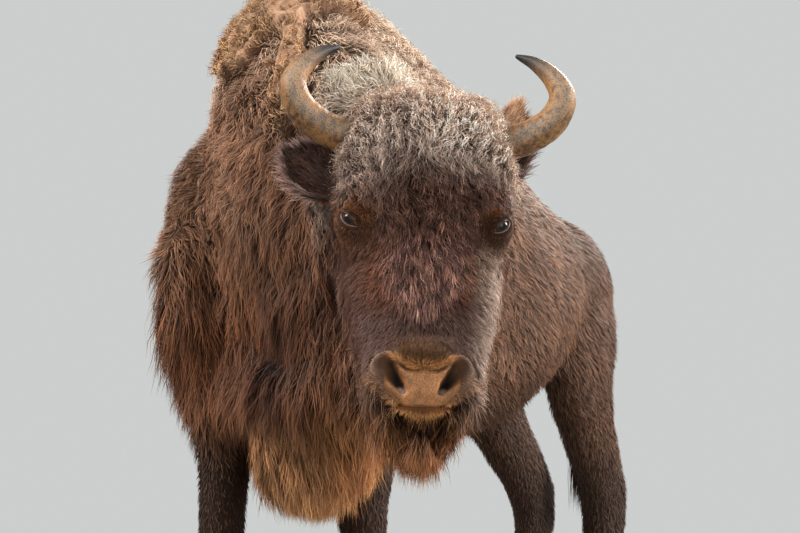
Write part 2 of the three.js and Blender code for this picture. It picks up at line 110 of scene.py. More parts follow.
lens = bpy.data.cameras.new("camera")
lens.sensor_width, lens.lens = SENSOR, LENS
lens.clip_end = 60  # metres
camera = bpy.data.objects.new("camera", lens)
camera.location = CAMERA_PLACE
camera.rotation_euler = (math.radians(90 + CAMERA_PITCH), 0, math.radians(CAMERA_YAW))
bpy.context.scene.collection.objects.link(camera)
bpy.context.scene.camera = camera
print("camera at", CAMERA_PLACE, "with a lens of", LENS, "mm")

# %% [markdown]
# ## The head's own frame
#
# Faces are easiest to describe straight on. The head frame has its origin midway between the
# eyes, x towards the animal's left, y backward into the skull and z up the forehead. Its x axis
# runs through both eyeballs, and its z axis is square to that and to the way the head is held.

# %% Head frame
HEAD_TURN = Euler((math.radians(-10), math.radians(2), math.radians(41)), "YXZ")
EYE_SET_BACK = 0.017  # the eyeballs' middle lies this far behind the frame's origin
EYE_NEARER, EYE_LOWER = 0.005, 0.0055  # each finished eyeball is moved so far from its solid


def middle(node):
    """The middle of a node's box."""
    low, high = (np.array(corner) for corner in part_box(node))
    return (low + high) / 2


SIDES = {"left": 1, "right": -1}  # the side and the sign of x there
eye_middles = {side: middle(f"eye_{side}") for side in SIDES}
between_eyes = eye_middles["left"] - eye_middles["right"]
eye_distance = np.linalg.norm(between_eyes)
head_up = np.array(HEAD_TURN.to_matrix())[:, 2]
axis_x = between_eyes / eye_distance
axis_y = np.cross(head_up, axis_x)
axis_y /= np.linalg.norm(axis_y)
HEAD_AXES = np.stack([axis_x, axis_y, np.cross(axis_x, axis_y)], axis=1)  # one per column
HEAD_ORIGIN = (eye_middles["left"] + eye_middles["right"]) / 2 - EYE_SET_BACK * axis_y


def to_head(points):
    """World points in the head frame: subtract the origin, then project on the three axes."""
    return (points - HEAD_ORIGIN) @ HEAD_AXES


def from_head(points):
    """Head-frame points in the world: the axes weighted by the coordinates, plus the origin."""
    return points @ HEAD_AXES.T + HEAD_ORIGIN


def mirrored(place):
    """Head-frame points with x made positive, so that one formula serves both sides."""
    return np.concatenate([np.abs(place[:, :1]), place[:, 1:]], axis=1)


def away(points, place, spread=1.0):
    """How far each point is from a place, each axis counted in units of the spread there."""
    return np.linalg.norm((points - place) / spread, axis=1)


EYE_PLACE = np.array([eye_distance / 2 - EYE_NEARER, EYE_SET_BACK, -EYE_LOWER])  # left eyeball
print("eyes are", round(float(eye_distance), 3), "apart, origin", HEAD_ORIGIN.round(3))

# %% [markdown]
# ## The skin, part one: a distance field
#
# A real wisent's skin is one surface, so the solids have to be welded before they can be
# covered. A distance field does that: each point of a lattice knows how far it is from the
# nearest surface, and is negative inside. A slightly larger copy closes the thin cuts between
# the pieces, and any inner surface is then just another level of the same field. Subdivided
# boxes or a sculpted base would need the whole outline made a second time.

# %% Distance field
FACE = ["head", "jaw", "muzzle"]
LIMBS = ("trunk", "neck", "foreleg", "hindleg")
FLESH = [name for name in nodes if name.startswith(LIMBS) or name in FACE]
SEAL = 0.005  # the field is measured from a copy this much larger, which closes the cuts


def polygons(names):
    """All corner points and triangles of some solids, the corner numbers shifted to run on."""
    points, faces, count = [], [], 0
    for name in names:
        mesh = nodes[name].data
        place = np.empty(len(mesh.vertices) * 3, np.float32)
        mesh.vertices.foreach_get("co", place)
        corner = np.empty(len(mesh.loops), np.int32)
        mesh.loops.foreach_get("vertex_index", corner)
        points.append(place.reshape(-1, 3))
        faces.append(corner.reshape(-1, 3) + count)
        count += len(mesh.vertices)
    return np.concatenate(points), np.concatenate(faces)


def blur(values):
    """Each value becomes the 1 4 6 4 1 weighted mean of its neighbours along every axis."""
    for axis in range(3):
        padded = np.pad(values, [(2, 2) if a == axis else (0, 0) for a in range(3)], "edge")
        parts = [np.take(padded, range(k, k + values.shape[axis]), axis) for k in range(5)]
        values = (parts[0] + 4 * parts[1] + 6 * parts[2] + 4 * parts[3] + parts[4]) / 16
    return values


class Field:
    """Values on a lattice of points, read anywhere between them."""

    def __init__(self, values, corner, step):
        self.values, self.corner, self.step = values, corner, step

    def __call__(self, points):
        """Trilinear: the mean of the eight lattice points around, weighted by nearness."""
        place = (points - self.corner) / self.step
        base = np.clip(np.floor(place).astype(int), 0, np.array(self.values.shape) - 2)
        part = np.clip(place - base, 0, 1)
        total = np.zeros(len(points))
        for offset in np.ndindex(2, 2, 2):
            weight = np.where(offset, part, 1 - part).prod(axis=1)
            total += weight * self.values[tuple((base + offset).T)]
        return total


def distance_field(names, low, high, step, band, rounds=1):
    """Distance to the welded solids on a lattice from low to high, true to band steps away.
    Rounds of blurring take away the solids' facets."""
    transform = openvdb.createLinearTransform(voxelSize=step)
    build = openvdb.FloatGrid.createLevelSetFromPolygons
    points, faces = polygons(names)
    shell = build(points, triangles=faces, transform=transform, halfWidth=3)
    points, faces, quads = shell.convertToPolygons(isovalue=SEAL)
    welded = build(points, triangles=faces, quads=quads, transform=transform, halfWidth=band)
    first = np.floor(np.asarray(low) / step).astype(int)
    last = np.ceil(np.asarray(high) / step).astype(int)
    values = np.empty(last - first + 1, np.float32)
    welded.copyToArray(values, ijk=tuple(int(i) for i in first))
    for _ in range(rounds):
        values = blur(values)
    return Field(values + SEAL, first * step, step)


def box_around(names, margin):
    """The two corners of the box around some solids, moved outwards by a margin."""
    low, high = np.array([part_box(name) for name in names]).transpose(1, 0, 2)
    return low.min(axis=0) - margin, high.max(axis=0) + margin


MARGIN, HEAD_MARGIN = 0.05, 0.02  # how far the lattices reach past the solids
body_low, body_high = (np.array(cad_box).T + (-MARGIN, MARGIN)).T
body_field = distance_field(FLESH, body_low, body_high, step=0.008, band=10)
mane_low, mane_high = box_around(["mane"], MARGIN)
mane_field = distance_field(["mane"], mane_low, mane_high, step=0.012, band=12)
head_field = distance_field([*FACE, "neck", "trunk_shoulders"], *box_around(FACE, HEAD_MARGIN),
                            step=0.004, band=14, rounds=5)
print("lattices", body_field.values.shape, head_field.values.shape,
      f"{time.time() - started:.1f} s")

# %% [markdown]
# ## The skin, part two: how deep the coat is
#
# A wisent's coat is a few millimetres deep on the nose and the lower legs, two or three
# centimetres on the trunk, and deepest as wool on the forehead and as a mane on the neck. The
# skin is the surface where the distance field equals minus that depth.

# %% Coat depth
def ramp(value, start, end):
    """0 before start and 1 after end, with a smooth S between them."""
    t = np.clip((value - start) / (end - start), 0, 1)
    return t * t * (3 - 2 * t)


def fade(value, start, end):
    """The ramp turned over: 1 before start and 0 after end."""
    return 1 - ramp(value, start, end)


def mix(a, b, weight):
    """a where the weight is 0, b where it is 1."""
    return a + (b - a) * weight


HEAD_EGG = (0, 0.085, -0.05), (0.185, 0.185, 0.31)  # middle and half axes, in the head frame
LEG_DEPTH, TRUNK_DEPTH, HUMP_DEPTH = 0.002, 0.020, 0.030
CHEEK_DEPTH, WOOL_DEPTH, NOSE_DEPTH, PAD_DEPTH, LID_DEPTH = 0.012, 0.014, 0.005, 0.0015, 0.006


def in_head(points):
    """1 on the head and 0 off it, from how far a point is out of an egg around the head."""
    return fade(away(to_head(points), *HEAD_EGG), 1.0, 1.25)


def coat_depth(points):
    """Depth of the coat in metres: a mixture of depths by region, each fading into the next."""
    _, y, z = points.T
    depth = mix(LEG_DEPTH, TRUNK_DEPTH, ramp(z, 0.12, 0.95))
    depth = mix(depth, HUMP_DEPTH, ramp(z, 1.0, 1.35) * ramp(-y, -0.1, 0.25))
    head_place = to_head(points)
    _, back, up = head_place.T
    face = mix(CHEEK_DEPTH, WOOL_DEPTH, ramp(up, 0.0, 0.11))
    face = mix(face, NOSE_DEPTH, ramp(-up, 0.10, 0.22))
    face = mix(face, PAD_DEPTH, ramp(-up, 0.215, 0.25) * fade(back, 0.05, 0.09))
    face = mix(LID_DEPTH, face, ramp(away(mirrored(head_place), EYE_PLACE), 0.03, 0.07))
    return mix(depth, face, in_head(points))


MANE_DEPTH = 0.062  # the throat's long hair grows on a fold of skin inside its solid
LOW_BLEND, FOLD_BLEND = 0.12, 0.30  # the fold flows into the legs and into the neck over these
HEAD_BLEND, EYE_BLEND = 0.06, 0.045  # and into the head, and the eyeballs into the face
EYE_RADIUS = 0.0198


def join(a, b, blend):
    """Smooth minimum: the smaller of two values, less (blend - |a - b|)² / (4 blend) where
    they differ by less than blend."""
    return np.minimum(a, b) - np.maximum(blend - np.abs(a - b), 0) ** 2 / (4 * blend)


def fold_level(points):
    """Distance to the throat's fold. Outside its lattice, twice the way there is added."""
    outside = np.maximum(mane_low - points, points - mane_high).max(axis=1)
    return mane_field(points) + MANE_DEPTH + 2 * np.maximum(outside, 0)


def skin_level(points):
    """Distance to the skin: the fine field near the head, the coarse one elsewhere, joined
    with the fold of the throat and with a ball around each eye."""
    far_corner = head_field.corner + head_field.step * np.array(head_field.values.shape)
    inner = np.minimum(points - head_field.corner, far_corner - points).min(axis=1)
    fine = ramp(inner, 0.008, 0.03)
    value = body_field(points)
    near = fine > 0
    value[near] = mix(value[near], head_field(points[near]), fine[near])
    flesh = value + coat_depth(points)
    ball = away(mirrored(to_head(points)), EYE_PLACE) - EYE_RADIUS
    blend = mix(LOW_BLEND, FOLD_BLEND, ramp(points[:, 2], 0.60, 0.76))
    blend = mix(blend, HEAD_BLEND, in_head(points))
    return join(join(flesh, fold_level(points), blend), ball, EYE_BLEND)


test_place = from_head(np.array([(0.0, 0.0, -0.1), (0.0, 0.0, 0.1)]))
print("coat on the nose and the forehead:", (coat_depth(test_place) * 1000).round(1), "mm")


# %% [markdown]
# ## The skin, part three: a mesh that is finer where it matters
#
# The first mesh comes from the field with a quad every 15 millimetres, which is enough under a
# deep coat. The head needs far more, so its triangles are halved three times over, each time in
# a smaller region, and after each round every point is moved back onto the skin's level.

# %% First mesh
INSET = 0.01  # the mesh's lattice starts this far inside the field's


def first_mesh(step):
    """The skin's zero level as triangles, on a lattice of the given step."""
    shape = np.ceil((body_high - body_low - 2 * INSET) / step).astype(int)
    corner = body_low + INSET
    lattice = np.stack(np.meshgrid(*[np.arange(n) for n in shape], indexing="ij"), -1)
    values = skin_level(lattice.reshape(-1, 3) * step + corner).reshape(shape)
    grid = openvdb.FloatGrid(float(values.max()))
    grid.copyFromArray(values.astype(np.float32))
    points, faces, quads = grid.convertToPolygons(isovalue=0.0)
    halves = [quads[:, [0, 1, 2]], quads[:, [0, 2, 3]]]
    return points * step + corner, np.concatenate([faces, *halves]).astype(int)


SLOPE_STEP, MOST_MOVE = 0.003, 0.01  # metres


def settle(points, faces, moving, rounds):
    """Relax points towards the mean of their neighbours, then slide them twice back to the
    level: by the level there over the slope's length squared, along the slope."""
    edges = faces[:, [0, 1, 1, 2, 2, 0]].reshape(-1, 2)
    edges = np.concatenate([edges, edges[:, ::-1]])
    count = np.bincount(edges[:, 0], minlength=len(points))[:, None]
    for _ in range(rounds):
        total = np.stack([np.bincount(edges[:, 0], points[edges[:, 1], k], len(points))
                          for k in range(3)], axis=1)
        points = mix(points, total / count, 0.5 * moving[:, None])
        for _ in range(2):
            some = np.flatnonzero(moving)
            here = points[some]
            slope = np.stack([skin_level(here + step) - skin_level(here - step)
                              for step in np.eye(3) * SLOPE_STEP], axis=1) / (2 * SLOPE_STEP)
            squared = np.maximum((slope ** 2).sum(axis=1), 0.1)
            move = np.clip(skin_level(here) / squared, -MOST_MOVE, MOST_MOVE)
            points[some] -= move[:, None] * slope
    return points


points, faces = first_mesh(0.015)
points = settle(points, faces, np.ones(len(points)), 4)
print("first skin", len(points), "points", f"{time.time() - started:.1f} s")

# %% Finer meshes for the head
FINE_SPOTS = [EYE_PLACE, (0.045, 0.02, -0.262), (0.02, 0.03, -0.302)]  # eye, nostril, lips


def refine(points, faces, wanted):
    """Halve each edge whose two ends are wanted. A face with one, two or three halved edges
    becomes two, three or four faces, so neighbours always share whole edges."""
    sides = np.sort(faces[:, [0, 1, 1, 2, 2, 0]].reshape(-1, 2), axis=1)
    edges, which = np.unique(sides, axis=0, return_inverse=True)
    halved = wanted[edges].all(axis=1)
    middle_of = np.where(halved, len(points) + np.cumsum(halved) - 1, -1)[which].reshape(-1, 3)
    points = np.concatenate([points, points[edges[halved]].mean(axis=1)])
    number = (middle_of >= 0).sum(axis=1)
    # turn each face until its halved edges come first
    whole, halved_first = np.argmin(middle_of, axis=1), np.argmax(middle_of >= 0, axis=1)
    turn = (np.arange(3) + np.where(number == 2, whole + 1, halved_first)[:, None]) % 3
    a, b, c = np.take_along_axis(faces, turn, axis=1).T
    ab, bc, ca = np.take_along_axis(middle_of, turn, axis=1).T
    one, two, three = (number == n for n in (1, 2, 3))
    made = [faces[number == 0]]
    for some, triangles in (
            (one, ((a, ab, c), (ab, b, c))),
            (two, ((ab, b, bc), (a, ab, bc), (a, bc, c))),
            (three, ((a, ab, ca), (ab, b, bc), (ca, bc, c), (ab, bc, ca)))):
        made += [np.stack(corners, axis=1)[some] for corners in triangles]
    return points, np.concatenate(made)


def face_zone(points, reach):
    """Points of the head that are within a reach of one of the fine spots."""
    place = mirrored(to_head(points))
    near = np.min([away(place, spot) for spot in FINE_SPOTS], axis=0)
    return (in_head(points) > 0) & (near < reach)


for reach in (math.inf, 0.13, 0.055):
    points, faces = refine(points, faces, face_zone(points, reach))
    moving = face_zone(points, reach + 0.01).astype(float)
    points = settle(points, faces, moving, 2)
    print("refined to", len(faces), "triangles", f"{time.time() - started:.1f} s")

# %% [markdown]
# ## The skin, part four: the features of the face
#
# Brow, cheekbone, nostrils and lips are small beside the head, so they are pushed in or out of
# the smooth skin by formulas in the head frame. x is taken without its sign, which makes both
# sides alike. Sculpting by hand could do the same, but not be changed by a number later.

# %% Face features
NOSTRIL_LINE = np.array([(0.054, -0.245), (0.045, -0.259), (0.035, -0.271), (0.028, -0.281)])
NOSTRIL_RADII = np.array([0.0125, 0.0128, 0.0105, 0.0065])  # across, at each of those points
MOUTH_FRONT = np.array([0.034, -0.298])  # back and up of the slit at the lips
MOUTH_RISE = np.array([0.172, 0.258])  # the way it runs towards the jaw's hinge

NOSTRIL_DEPTH, RIM_HEIGHT = 0.017, 0.0022
LOWER_LIP, UPPER_LIP, MOUTH_DEPTH = 0.0025, 0.0015, 0.007  # how far the lips stand out, the slit in

HILLS = [  # place, spread on each axis and height of each swelling or hollow
    ((0.102, 0.000, 0.042), (0.036, 0.036, 0.020), 0.011),  # brow
    ((0.078, 0.000, -0.052), (0.022, 0.030, 0.030), -0.003),  # hollow in front of the eye
    ((0.118, 0.030, -0.038), (0.034, 0.050, 0.022), 0.008),  # cheekbone
    ((0.130, 0.060, 0.010), (0.030, 0.030, 0.040), 0.006),  # behind the eye
    ((0.000, -0.010, -0.110), (0.035, 0.030, 0.080), 0.004),  # bridge of the nose
    ((0.075, 0.040, -0.205), (0.030, 0.040, 0.016), -0.004),  # pinch above the nostril
    ((0.062, 0.022, -0.252), (0.016, 0.026, 0.026), 0.007),  # wing of the nostril
    ((0.000, 0.012, -0.230), (0.046, 0.034, 0.021), 0.012),  # dome above the pad
    ((0.000, 0.012, -0.190), (0.060, 0.034, 0.012), -0.005),  # the fold above the dome
    ((0.074, 0.018, -0.300), (0.022, 0.034, 0.020), -0.010),  # the lip draws in below the nostril
    ((0.000, 0.060, -0.330), (0.040, 0.040, 0.020), 0.003),  # chin
]


def from_piece(points, start, end):
    """How far along a straight piece of line each point is, from 0 to 1, and the way to the
    point from there."""
    along = np.clip((points - start) @ (end - start) / ((end - start) ** 2).sum(), 0, 1)
    return along, points - start - along[:, None] * (end - start)


def nostril_distance(place):
    """How far out of the nostril's comma a point is: its distance to the nearest piece of the
    comma's middle line, less the comma's radius there. Negative inside."""
    flat = mirrored(place)[:, [0, 2]]
    best = np.full(len(place), 1.0)
    for k in range(len(NOSTRIL_LINE) - 1):
        along, gap = from_piece(flat, *NOSTRIL_LINE[k:k + 2])
        radius = mix(*NOSTRIL_RADII[k:k + 2], along)
        best = np.minimum(best, np.linalg.norm(gap, axis=1) - radius)
    return best + ramp(place[:, 1], 0.06, 0.09)


def mouth_distance(place):
    """Signed distance below the plane of the mouth."""
    normal = np.array([MOUTH_RISE[1], -MOUTH_RISE[0]]) / np.linalg.norm(MOUTH_RISE)
    return (place[:, 1:] - MOUTH_FRONT) @ normal


def bell(value, width):
    """A bell curve, exp(-(value / width)²): 1 at zero."""
    return np.exp(-(value / width) ** 2)


def normals_of(points, faces):
    """Normals of the points: the sum of the cross products of the faces around each."""
    a, b, c = (points[faces[:, k]] for k in range(3))
    face = np.cross(b - a, c - a)
    total = np.stack([np.bincount(faces.ravel(), np.repeat(face[:, k], 3), len(points))
                      for k in range(3)], axis=1)
    return total / np.maximum(np.linalg.norm(total, axis=1), 1e-12)[:, None]


def face_push(place):
    """How far out of the skin each head-frame point is pushed: hills, then the nostrils with
    their raised rims, then the slit between the lips."""
    both = mirrored(place)
    push = sum(height * np.exp(-(((both - spot) / spread) ** 2).sum(axis=1))
               for spot, spread, height in HILLS)
    nostril = nostril_distance(place)
    push -= NOSTRIL_DEPTH * fade(nostril, -0.008, 0.001)
    push += RIM_HEIGHT * bell(nostril - 0.004, 0.0035)
    mouth = mouth_distance(place)
    lips = fade(place[:, 1], 0.10, 0.13)
    push += lips * (LOWER_LIP * bell(mouth - 0.007, 0.005) + UPPER_LIP * bell(mouth + 0.006, 0.005))
    return push - lips * MOUTH_DEPTH * bell(mouth, 0.0026)


some = in_head(points) > 0
normals = normals_of(points, faces)
push = face_push(to_head(points[some]))
points[some] += push[:, None] * normals[some]
print("face pushed at most", round(float(np.abs(push).max()) * 1000), "mm")

# %% [markdown]
# ## The skin, part five: eyelids
#
# A lid is skin drawn tight over the ball. Round each eye the skin is moved onto a shell just
# outside the eyeball. It has an almond-shaped opening, where it dips behind the ball, and that
# makes the two lids. The opening is given by angles round the ball, so it turns with the way the
# eye looks. Lids cut out of the mesh would need their edges sewn by hand.

# %% Eyelids
EYE_OUT = np.array([0.38, -0.88, -0.30])  # the way the left eye looks, in the head frame
EYE_OUT /= np.linalg.norm(EYE_OUT)
EYE_ALONG = np.array([0.47, 0.50, 0.72])  # from its inner to its outer corner
EYE_ALONG -= EYE_ALONG @ EYE_OUT * EYE_OUT
EYE_ALONG /= np.linalg.norm(EYE_ALONG)
EYE_UP = np.cross(EYE_OUT, EYE_ALONG)
if EYE_UP[2] < 0:
    EYE_UP = -EYE_UP
EYE_HALF_LENGTH = math.radians(54)
UPPER_LID, LOWER_LID = math.radians(22), math.radians(20)  # how far each is open at the middle
LID_THICKNESS, LID_DIP, LID_ROLL = 0.0036, 0.005, 0.0016  # the dip is inside the opening
HOLD_FULL, HOLD_END = math.radians(62), math.radians(108)  # the skin is held to the shell there


def eye_angles(place):
    """Of each point around the left eyeball: distance from its middle, and the angles from the
    way it looks, along the opening, across it, and in all."""
    ray = place - EYE_PLACE
    length = np.linalg.norm(ray, axis=1)
    out, along, up = (ray @ axis / length for axis in (EYE_OUT, EYE_ALONG, EYE_UP))
    across = np.arcsin(np.clip(up, -1, 1))
    return length, np.arctan2(along, out), across, np.arccos(np.clip(out, -1, 1))


def lid_distance(along, across):
    """How far outside the almond an angle pair is. Each lid's edge is a parabola."""
    arch = 1 - (along / EYE_HALF_LENGTH) ** 2
    return np.maximum(across - UPPER_LID * arch, -across - LOWER_LID * arch)


def draw_lids(place):
    """Move the skin near an eye onto the shell of the lids, fading out to the side of the ball."""
    side = np.sign(place[:, :1])
    both = mirrored(place)
    length, along, across, off = eye_angles(both)
    edge = lid_distance(along, across) * EYE_RADIUS
    shell = EYE_RADIUS + mix(-LID_DIP, LID_THICKNESS, ramp(edge, -0.0008, 0.0010))
    shell += LID_ROLL * bell(edge - 0.004, 0.003)
    hold = fade(off, HOLD_FULL, HOLD_END) * fade(length, 0.042, 0.055)
    drawn = EYE_PLACE + (both - EYE_PLACE) * (mix(length, shell, hold) / length)[:, None]
    return np.concatenate([drawn[:, :1] * side, drawn[:, 1:]], axis=1)


before = points[some]
points[some] = from_head(draw_lids(to_head(before)))
moved = np.linalg.norm(points[some] - before, axis=1)
print("lids drawn at most", round(float(moved.max()) * 1000), "mm")

# %% [markdown]
# ## Ears and tail
#
# Both are simple enough to be written as surfaces of their own. An ear is a leaf rolled into a
# cup: wide and open in the middle, narrow and nearly closed at the root. The tail is a tube
# along a curve. They join the skin's mesh, so that the coat can grow on everything at once.
# Thin shells like an ear would be lost in a distance field with steps of several millimetres.

# %% Curves and tubes
def curve_points(knots, count):
    """Points along a smooth curve through knots (Catmull-Rom): between knots 1 and 2 it is
    (2 p1 + (p2 - p0) t + (2 p0 - 5 p1 + 4 p2 - p3) t² + (3 p1 - p0 - 3 p2 + p3) t³) / 2."""
    knots = np.asarray(knots, float)
    knots = np.concatenate([2 * knots[:1] - knots[1:2], knots, 2 * knots[-1:] - knots[-2:-1]])
    place = np.linspace(0, len(knots) - 3, count)
    k = np.minimum(place.astype(int), len(knots) - 4)
    t = (place - k)[:, None]
    p0, p1, p2, p3 = (knots[k + n] for n in range(4))
    return (2 * p1 + (p2 - p0) * t + (2 * p0 - 5 * p1 + 4 * p2 - p3) * t ** 2
            + (3 * p1 - p0 - 3 * p2 + p3) * t ** 3) / 2


def closed_grid(rows, around):
    """Triangles of a tube of rows rings with around points each, then a first and a last pole."""
    ring, side = np.meshgrid(np.arange(rows - 1), np.arange(around), indexing="ij")
    a = ring * around + side
    b = ring * around + (side + 1) % around
    c, d = b + around, a + around
    walls = np.stack([a, b, c, a, c, d], axis=-1).reshape(-1, 3)
    side = np.arange(around)
    first, last = rows * around, rows * around + 1
    start = np.stack([np.full(around, first), (side + 1) % around, side], axis=1)
    top = (rows - 1) * around
    end = np.stack([np.full(around, last), top + side, top + (side + 1) % around], axis=1)
    return np.concatenate([walls, start, end])


def tube(line, radii, around=16, seed_side=(0.0, 0.3, 1.0)):
    """A round tube: line + radius (cos u side + sin u up), with a pole at each end."""
    ahead = np.gradient(line, axis=0)
    ahead /= np.linalg.norm(ahead, axis=1)[:, None]
    side = np.cross(ahead, seed_side)
    side /= np.linalg.norm(side, axis=1)[:, None]
    up = np.cross(ahead, side)
    turn = np.linspace(0, 2 * np.pi, around, endpoint=False)[None, :, None]
    rings = line[:, None] + np.asarray(radii)[:, None, None] * (
        np.cos(turn) * side[:, None] + np.sin(turn) * up[:, None])
    poles = np.stack([line[0] - ahead[0] * radii[0] * 0.4, line[-1] + ahead[-1] * radii[-1] * 0.4])
    return np.concatenate([rings.reshape(-1, 3), poles]), closed_grid(len(line), around)


TAIL_X, TAIL_POINTS, TAIL_AROUND = -0.242, 50, 14
TAIL_LINE = [(0.66, 1.235), (0.715, 1.215), (0.757, 1.14), (0.806, 1.03), (0.836, 0.93),
             (0.85, 0.83), (0.853, 0.76)]  # y and z
TAIL_ROOT, TAIL_END = 0.022, 0.009  # radii
tail_line = curve_points([(TAIL_X, y, z) for y, z in TAIL_LINE], TAIL_POINTS)
tail_radii = mix(TAIL_ROOT, TAIL_END, np.linspace(0, 1, TAIL_POINTS) ** 0.8)
tail = tube(tail_line, tail_radii, TAIL_AROUND)
print("tail:", len(tail[0]), "points, its tip at", tail_line[-1].round(3))

# %% Ears
EARS = {  # root, the way it points and the way its hollow faces, in the head frame
    "left": ((0.125, 0.118, 0.112), (0.25, 0.05, 0.965), (0.72, -0.66, -0.15)),
    "right": ((-0.113, 0.068, 0.061), (-0.70, 0.36, 0.62), (-0.35, -0.9, 0.15)),
}
EAR_LENGTH, EAR_HALF_WIDTH, EAR_CUP, EAR_HALF_SKIN = 0.168, 0.048, 0.028, 0.004


def ear_frame(side):
    """An ear's root and three square directions: along it, across it and out of its hollow."""
    root, along, facing = (np.array(v) for v in EARS[side])
    along = along / np.linalg.norm(along)
    facing = facing - facing @ along * along
    facing /= np.linalg.norm(facing)
    return root, along, np.cross(facing, along), facing


def ear_width(t):
    """Half the ear's width at height t: W (0.34 + 0.66 sin(pi t^0.8)), closed to a round tip."""
    return EAR_HALF_WIDTH * (0.34 + 0.66 * np.sin(np.pi * t ** 0.8)) * (1 - t ** 7) ** 0.5


def ear(side, rows=40, around=40):
    """A cupped leaf: at height t and angle u the point is root + t L along + w cos u across
    + (cup (cos² u - 0.5) + skin sin u) facing."""
    root, along, sideways, facing = ear_frame(side)
    t = np.linspace(0.0, 0.992, rows)[:, None]
    u = np.linspace(0, 2 * np.pi, around, endpoint=False)[None]
    width = ear_width(t)
    cup = EAR_CUP * (1 - 0.6 * t ** 2) * (width / EAR_HALF_WIDTH) ** 0.5
    skin_part = EAR_HALF_SKIN * (1.6 - t) * np.sin(u) * (0.35 + 0.65 * np.abs(np.sin(u)))
    place = (root + (t * EAR_LENGTH)[..., None] * along
             + (width * np.cos(u))[..., None] * sideways
             + (cup * (np.cos(u) ** 2 - 0.5) + skin_part)[..., None] * facing)
    poles = np.stack([place[0].mean(axis=0), place[-1].mean(axis=0) + 0.001 * along])
    place = np.concatenate([place.reshape(-1, 3), poles])
    return from_head(place), closed_grid(rows, around)


ears = [ear(side) for side in SIDES]
print("ears:", len(ears[0][0]), "points each,", EAR_LENGTH, "long")

# %% One mesh for the coat to grow on
def outward(points, faces):
    """Faces turned so that the closed mesh's volume, the sum of a . (b x c) / 6, is positive."""
    a, b, c = (points[faces[:, k]] for k in range(3))
    volume = np.einsum("ij,ij->", a - points.mean(axis=0), np.cross(b - a, c - a))
    return faces if volume > 0 else faces[:, ::-1]


faces = outward(points, faces)
kind = np.zeros(len(points), int)  # 0 body, 1 left ear, 2 right ear, 3 tail
for number, (more, joined) in enumerate([*ears, tail], 1):
    faces = np.concatenate([faces, outward(more, joined) + len(points)])
    points = np.concatenate([points, more])
    kind = np.concatenate([kind, np.full(len(more), number)])
normals = normals_of(points, faces)
print("skin:", len(points), "points,", len(faces), "triangles", f"{time.time() - started:.1f} s")

# %% [markdown]
# ## Materials
#
# Everything is coloured by a colour carried on the points, so that the skin and the hair on it
# always agree. Nodes add only fine grain. Hair is rough and weakly glossy; horn, hoof, eye and
# the wet pad of the nose are smoother.

# %% Colour and material
PIT_START, PIT_END = 0.40, 0.50  # the noise below which a speck is darkest, and above which none


def linear(*srgb):
    """A 0-255 display colour as linear light: ((c + 0.055) / 1.055)^2.4 above 0.04."""
    c = np.array(srgb) / 255
    return np.where(c > 0.04045, ((c + 0.055) / 1.055) ** 2.4, c / 12.92)


def set_sockets(node, **values):
    """Sets a node's sockets. A socket's name is written with _ for each space."""
    for socket, value in values.items():
        node.inputs[socket.replace("_", " ")].default_value = value


def add_node(tree, kind, **values):
    """A new node with its sockets set."""
    node = tree.nodes.new("ShaderNode" + kind)
    set_sockets(node, **values)
    return node


def new_material(name):
    """A material with nodes, its node tree and its shader."""
    made = bpy.data.materials.new(name)
    made.use_nodes = True
    return made, made.node_tree, made.node_tree.nodes["Principled BSDF"]


def material(name, roughness, specular=0.5, coat=0.0, sheen=0.0, bump=0.0, scale=300.0, speck=0.0):
    """Principled material coloured by the points' "tint"; noise of the given scale bumps it,
    and darkens up to the share speck of its colour in fine specks."""
    made, tree, shader = new_material(name)
    set_sockets(shader, Roughness=roughness, Specular_IOR_Level=specular, Coat_Weight=coat,
                Coat_Roughness=0.08, Sheen_Weight=sheen)
    tint = add_node(tree, "Attribute")
    tint.attribute_name = "tint"
    tree.links.new(tint.outputs["Color"], shader.inputs["Base Color"])
    if bump:
        place = add_node(tree, "TexCoord")
        grain = add_node(tree, "TexNoise", Scale=scale, Detail=4.0)
        relief = add_node(tree, "Bump", Strength=bump, Distance=0.002)
        tree.links.new(place.outputs["Object"], grain.inputs["Vector"])
        tree.links.new(grain.outputs["Fac"], relief.inputs["Height"])
        tree.links.new(relief.outputs["Normal"], shader.inputs["Normal"])
        if speck:
            pits = add_node(tree, "MapRange", From_Min=PIT_START, From_Max=PIT_END,
                            To_Min=1 - speck)
            darker = add_node(tree, "VectorMath")
            darker.operation = "SCALE"
            tree.links.new(grain.outputs["Fac"], pits.inputs["Value"])
            tree.links.new(tint.outputs["Color"], darker.inputs[0])
            tree.links.new(pits.outputs["Result"], darker.inputs["Scale"])
            tree.links.new(darker.outputs["Vector"], shader.inputs["Base Color"])
    return made


HAIR = material("hair", 0.6, 0.2)
WOOL = material("matted wool", 0.85, 0.2, sheen=0.2, bump=0.9, scale=220)
SKIN = material("short undercoat", 0.8, 0.2, bump=0.5, scale=420)
LEATHER = material("nose leather", 0.42, 0.5, coat=0.15, bump=0.7, scale=520, speck=0.45)
HORN = material("horn", 0.5, 0.3, bump=0.4, scale=420, speck=0.5)
HOOF = material("hoof", 0.5, 0.4, bump=0.5, scale=120)
EYE = material("eye", 0.06, 0.3)
LID = material("lid rim", 0.3, 0.5, coat=0.3)
print("materials:", [made.name for made in (HAIR, WOOL, SKIN, LEATHER, HORN, HOOF, EYE, LID)])

# %% [markdown]
# ## From numbers to a piece
#
# Every piece below is worked out as arrays of points, triangles and point colours. One helper
# makes the mesh from them. foreach_set copies a whole array at once, where a loop over some
# hundred thousand blades of hair would take minutes. The helper also says that the piece rides
# on the still body, and which finish it belongs to.

# %% Mesh pieces


